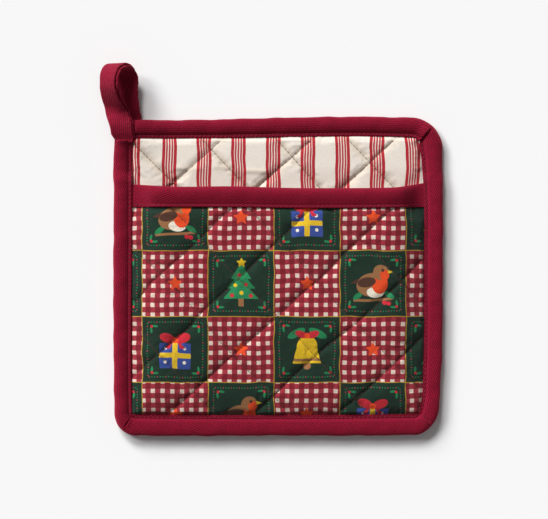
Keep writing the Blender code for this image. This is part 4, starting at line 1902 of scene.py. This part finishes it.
    def section(self) -> tuple[Array, Array, Array]:
        """Section of the folded tape.

        It goes from the slit round the inner leaf's edge, along that leaf, round the
        fold and back by the outer leaf. The second half lines the slit.

        Returns:
            Places across, places through in half thicknesses, and the length round.
        """
        fold = np.radians(np.linspace(90.0, -90.0, self.EDGE_POINTS)[1:-1])
        bend = np.stack((self.fold_u + 1.1 - 1.1 * np.cos(fold), np.sin(fold)), 1)
        back = self.leaf(self.outer_edge)[::-1] * (1.0, -1.0)
        outside = np.concatenate((self.leaf(self.inner_edge), bend, back))
        root = self.fold_u + 1.5
        slit = ((self.outer_edge - 1.5, -0.09), (root, -0.05), (root, 0.05), (self.inner_edge - 1.5, 0.09))
        length = chords(np.array(slit))
        inside = between(length, np.array(slit), np.linspace(0.0, length[-1], len(outside)))
        both = np.concatenate((outside, inside))
        run = np.concatenate((chords(outside), chords(inside)))
        return both[None, :, 0], both[None, :, 1], run

    def stitch_rows(self) -> Rows:
        """Places and directions of the tape's stitches, in one row."""
        return [self.seam]


@dataclass
class Stitches:
    """Rows of single stitches, each a small bent capsule half sunk in the cloth.

    Its middle lies lift over the cloth, and its ends dip by dip. end is the least square
    of the share of the radius that is left there.
    """

    name: str
    radius: float = 0.2
    length: float = 2.5
    lift: float = 0.16
    dip: float = 0.14
    end: float = 0.06
    sides: int = 6
    rings: int = 5

    def build(self, rows: Rows, finish: Material) -> Piece:
        """Lays stitches along rows.

        A stitch is a tube whose middle follows an arc that dips at both ends, and whose
        radius shrinks there: radius times the root of 1 - s to the fourth, where s goes
        from -1 to 1.

        Args:
            rows: for each row of stitches, (n, 3) places and (n, 3) directions out of
                the cloth.
            finish: the thread's material.

        Returns:
            The object.
        """
        laid = []
        for places, outward in rows:
            length = chords(places)
            count = int(length[-1] / STITCH_PITCH)
            at = (np.arange(count) + 0.5) * length[-1] / max(count, 1)
            first, last = (between(length, places, at + half) for half in (-self.length / 2, self.length / 2))
            laid.append(np.stack(((first + last) / 2, (last - first) / 2, between(length, outward, at))))
        centre, run, normal = np.concatenate(laid, 1)
        normal = unit(normal)
        cross = unit(np.cross(run, normal))
        s = np.linspace(-1.0, 1.0, self.rings)[:, None]
        wide = self.radius * np.sqrt(np.maximum(1.0 - np.abs(s) ** 4, self.end))
        spine = centre[:, None] + run[:, None] * s + normal[:, None] * (self.lift - self.dip * s**4)
        angle = np.arange(self.sides) * TURN / self.sides
        aside, out = (wide * way for way in (np.cos(angle), np.sin(angle)))
        tube = cross[:, None, None] * aside[..., None] + normal[:, None, None] * out[..., None]
        points = spine[:, :, None] + tube
        index = np.arange(self.rings * self.sides).reshape(self.rings, self.sides)
        close = cap(self.sides)
        ends = (index[0][close], index[-1][close[:, ::-1]])
        faces = np.concatenate((belt(index[:-1], index[1:]).reshape(-1, 4), *ends))
        every = faces + index.size * np.arange(len(centre))[:, None, None]
        return dress(as_mesh(self.name, points.reshape(-1, 3), every.reshape(-1, 4)), finish)


# ---------------------------------------------------------------- the studio


@dataclass
class Studio:
    """Pale floor, soft light from the upper left, and a camera straight above.

    seen is the width that the camera takes in, round the middle, at the height plane.
    panes has the azimuth, elevation and width in degrees and the strength of each part
    of one large window. Azimuth runs from the left towards the top. fill is the sky's
    strength.
    """

    seen: float = 367.0
    middle: tuple[float, float] = (-2.5, 11.05)
    plane: float = 8.0
    distance: float = 1500.0
    sensor: float = 36.0
    panes: Table = ((35.0, 35.0, 18.0, 1.569), (53.0, 25.0, 18.0, 1.625), (70.0, 35.0, 18.0, 2.106))
    fill: float = 0.187
    floor_reach: float = 4000.0
    floor_sunk: float = 0.1

    def camera(self) -> None:
        """Looks straight down; the width seen is the photo's at the cloth's height."""
        data = bpy.data.cameras.new("camera")
        data.sensor_width = self.sensor
        data.lens = self.sensor * (self.distance - self.plane) / self.seen
        data.clip_end = 20.0
        camera = bpy.data.objects.new("camera", data)
        camera.location = Vector((*self.middle, self.distance)) * MM
        bpy.context.scene.collection.objects.link(camera)
        bpy.context.scene.camera = camera

    def lights(self) -> None:
        """A wide sun for each pane of the window, and an even pale sky."""
        for number, (azimuth, elevation, width, strength) in enumerate(self.panes):
            data = bpy.data.lights.new(f"pane_{number}", "SUN")
            data.energy = strength
            data.angle = math.radians(width)
            sun = bpy.data.objects.new(f"pane_{number}", data)
            across, up = math.radians(azimuth), math.radians(elevation)
            away = Vector((-math.cos(across), math.sin(across), math.tan(up)))
            sun.rotation_euler = away.to_track_quat("Z", "Y").to_euler()
            bpy.context.scene.collection.objects.link(sun)
        world = bpy.data.worlds.new("sky")
        world.use_nodes = True
        sky = {"Color": "#ffffff", "Strength": self.fill}
        set_inputs(world.node_tree, world.node_tree.nodes["Background"], sky)
        bpy.context.scene.world = world

    def floor(self) -> None:
        """Matt white board, wide enough for every view."""
        square = np.array(((-1.0, -1.0, 0.0), (1.0, -1.0, 0.0), (1.0, 1.0, 0.0), (-1.0, 1.0, 0.0)))
        points = square * self.floor_reach - (0.0, 0.0, self.floor_sunk)
        board = as_mesh("floor", points, np.array(((0, 1, 2, 3),)))
        material = bpy.data.materials.new("matt white board")
        material.use_nodes = True
        tree = material.node_tree
        matt = {"Base Color": "#f0f0f0", "Roughness": 0.95, "Specular IOR Level": 0.1}
        set_inputs(tree, tree.nodes["Principled BSDF"], matt)
        board.data.materials.append(material)

    def build(self) -> None:
        """Sets up the whole studio."""
        self.camera()
        self.lights()
        self.floor()
        scene = bpy.context.scene
        scene.view_settings.view_transform = "Standard"
        scene.view_settings.look = "None"


# Stitch lines as (x, y) points. The back's go on under the pocket at the same spacing.
BACK_LINES = (
    ((-98.0, 90.0), (-93.0, 85.1), (-71.1, 63.3), (-50.0, 42.0), (90.0, -98.0)),
    ((-60.0, 101.0), (-48.6, 89.2), (-22.5, 61.2), (0.0, 37.0), (101.0, -70.0)),
    ((-10.0, 101.6), (-1.5, 92.5), (28.2, 59.2), (48.0, 37.0), (101.0, -21.0)),
    ((38.0, 101.5), (44.7, 94.0), (78.0, 59.2), (98.0, 38.0)),
    ((-101.0, 45.0), (42.0, -98.0)),
    ((-101.0, -5.0), (-8.0, -98.0)),
    ((-101.0, -55.0), (-58.0, -98.0)),
    ((-101.0, 34.0), (-69.1, 63.3), (-37.7, 91.3), (-27.0, 101.0)),
    ((-101.0, -18.0), (-40.0, 36.0), (-12.8, 60.2), (24.6, 93.0), (34.0, 101.0)),
    ((-101.0, -71.0), (18.0, 36.0), (43.7, 59.2), (80.0, 93.0), (88.0, 101.0)),
    ((-72.0, -98.0), (101.0, 58.0)),
    ((-19.0, -98.0), (101.0, 10.0)),
    ((34.0, -98.0), (101.0, -38.0)),
)
POCKET_LINES = (
    (
        (-100.5, -22.0), (-92.9, -15.1), (-84.4, -4.3), (-51.6, 24.4), (-39.5, 37.9), (-33.3, 42.9),
        (-28.0, 47.0),
    ),
    (
        (20.7, 43.3), (5.0, 27.6), (-8.4, 15.5), (-21.9, 2.0), (-52.7, -26.1), (-58.1, -33.5),
        (-89.6, -60.9), (-101.0, -71.0),
    ),
    (
        (80.0, 48.0), (66.2, 35.7), (44.2, 14.5), (31.5, 1.1), (14.0, -13.7), (-1.2, -28.1),
        (-37.3, -59.6), (-68.1, -88.1), (-76.0, -96.0),
    ),
    (
        (101.0, 14.5), (93.1, 7.4), (80.5, -5.2), (60.2, -24.8), (46.5, -36.5), (31.6, -47.7),
        (13.8, -64.1), (-6.5, -83.8), (-18.0, -95.0),
    ),
    ((101.0, -37.0), (78.1, -58.2), (60.2, -75.5), (42.2, -90.4), (35.0, -96.0)),
    ((-101.0, -29.2), (-96.9, -33.5), (-58.6, -75.1), (-40.0, -95.0)),
    (
        (-101.0, 23.0), (-93.3, 15.5), (-62.8, -13.7), (-52.7, -26.1), (-36.7, -45.9), (-6.5, -76.9),
        (12.0, -96.0),
    ),
    (
        (-72.0, 46.0), (-61.0, 35.2), (-54.7, 28.0), (-25.3, -2.7), (-2.2, -24.6), (52.1, -82.4),
        (65.0, -96.0),
    ),
    (
        (-20.0, 46.0), (-15.9, 41.5), (22.5, 1.1), (37.9, -17.4), (66.9, -47.0), (92.4, -73.0),
        (101.0, -81.5),
    ),
    ((33.0, 46.0), (37.7, 41.5), (54.1, 24.4), (62.1, 19.5), (97.3, -20.8), (101.0, -25.0)),
)


def main() -> None:
    """Builds the studio and every piece."""
    logging.basicConfig(level=logging.INFO, format="%(name)s: %(message)s")
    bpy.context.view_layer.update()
    Studio().build()
    twill = Twill("red cotton twill").material()
    back = BackPad(
        "back_pad",
        "back_panel",
        "ticking",
        BACK_LINES,
        columns=((-101.2, 101.2, 1.8),),
        rows=((-96.2, 56.0, 2.4), (56.0, 96.0, 1.6)),
        creases=(
            (-68.0, 72.5, -52.0, 71.5, 0.35, 1.6),
            (-42.0, 72.8, -34.0, 72.4, 0.3, 1.3),
            (-21.0, 70.4, -7.0, 70.0, 0.5, 1.6),
        ),
        puff_reach=3.5,
        pressure=1.0,
        slack=0.004,
        cap=0.4,
    )
    back.build(Ticking("striped cotton ticking").material())
    pocket = PocketPad(
        "pocket_pad",
        "pocket_panel",
        "print",
        POCKET_LINES,
        columns=((-101.2, 101.2, 1.6),),
        rows=((-96.2, 54.8, 1.6),),
    )
    pocket.build(PrintedCalico("printed cotton calico").material())
    edge, mouth, loop = EdgeBinding(), MouthBinding(), HangingLoop()
    edge.build(twill)
    mouth.build(pocket, twill)
    # The tape's colours are painted lighter than the binding's: painted light on the loop, which stands up
    # into the light.
    tape = Twill("red cotton twill tape", slant=12.0, base="#7c0e26", rib="#941834", groove="#5c091c")
    loop.build(tape.material())
    brown = ThreadFinish("brown quilting thread", "#5a281c").material()
    red = ThreadFinish("dark red sewing thread", "#86142e").material()
    rows = back.stitch_rows() + back.stitch_rows(below=True)
    Stitches("back_quilting_thread", radius=0.17, length=3.0).build(rows, brown)
    Stitches("pocket_quilting_thread", radius=0.17, length=3.0).build(pocket.stitch_rows(), brown)
    Stitches("edge_topstitch_thread").build(edge.stitch_rows(), red)
    Stitches("mouth_topstitch_thread").build(mouth.stitch_rows(), red)
    Stitches("loop_topstitch_thread").build(loop.stitch_rows(), red)


if __name__ == "__main__":
    main()
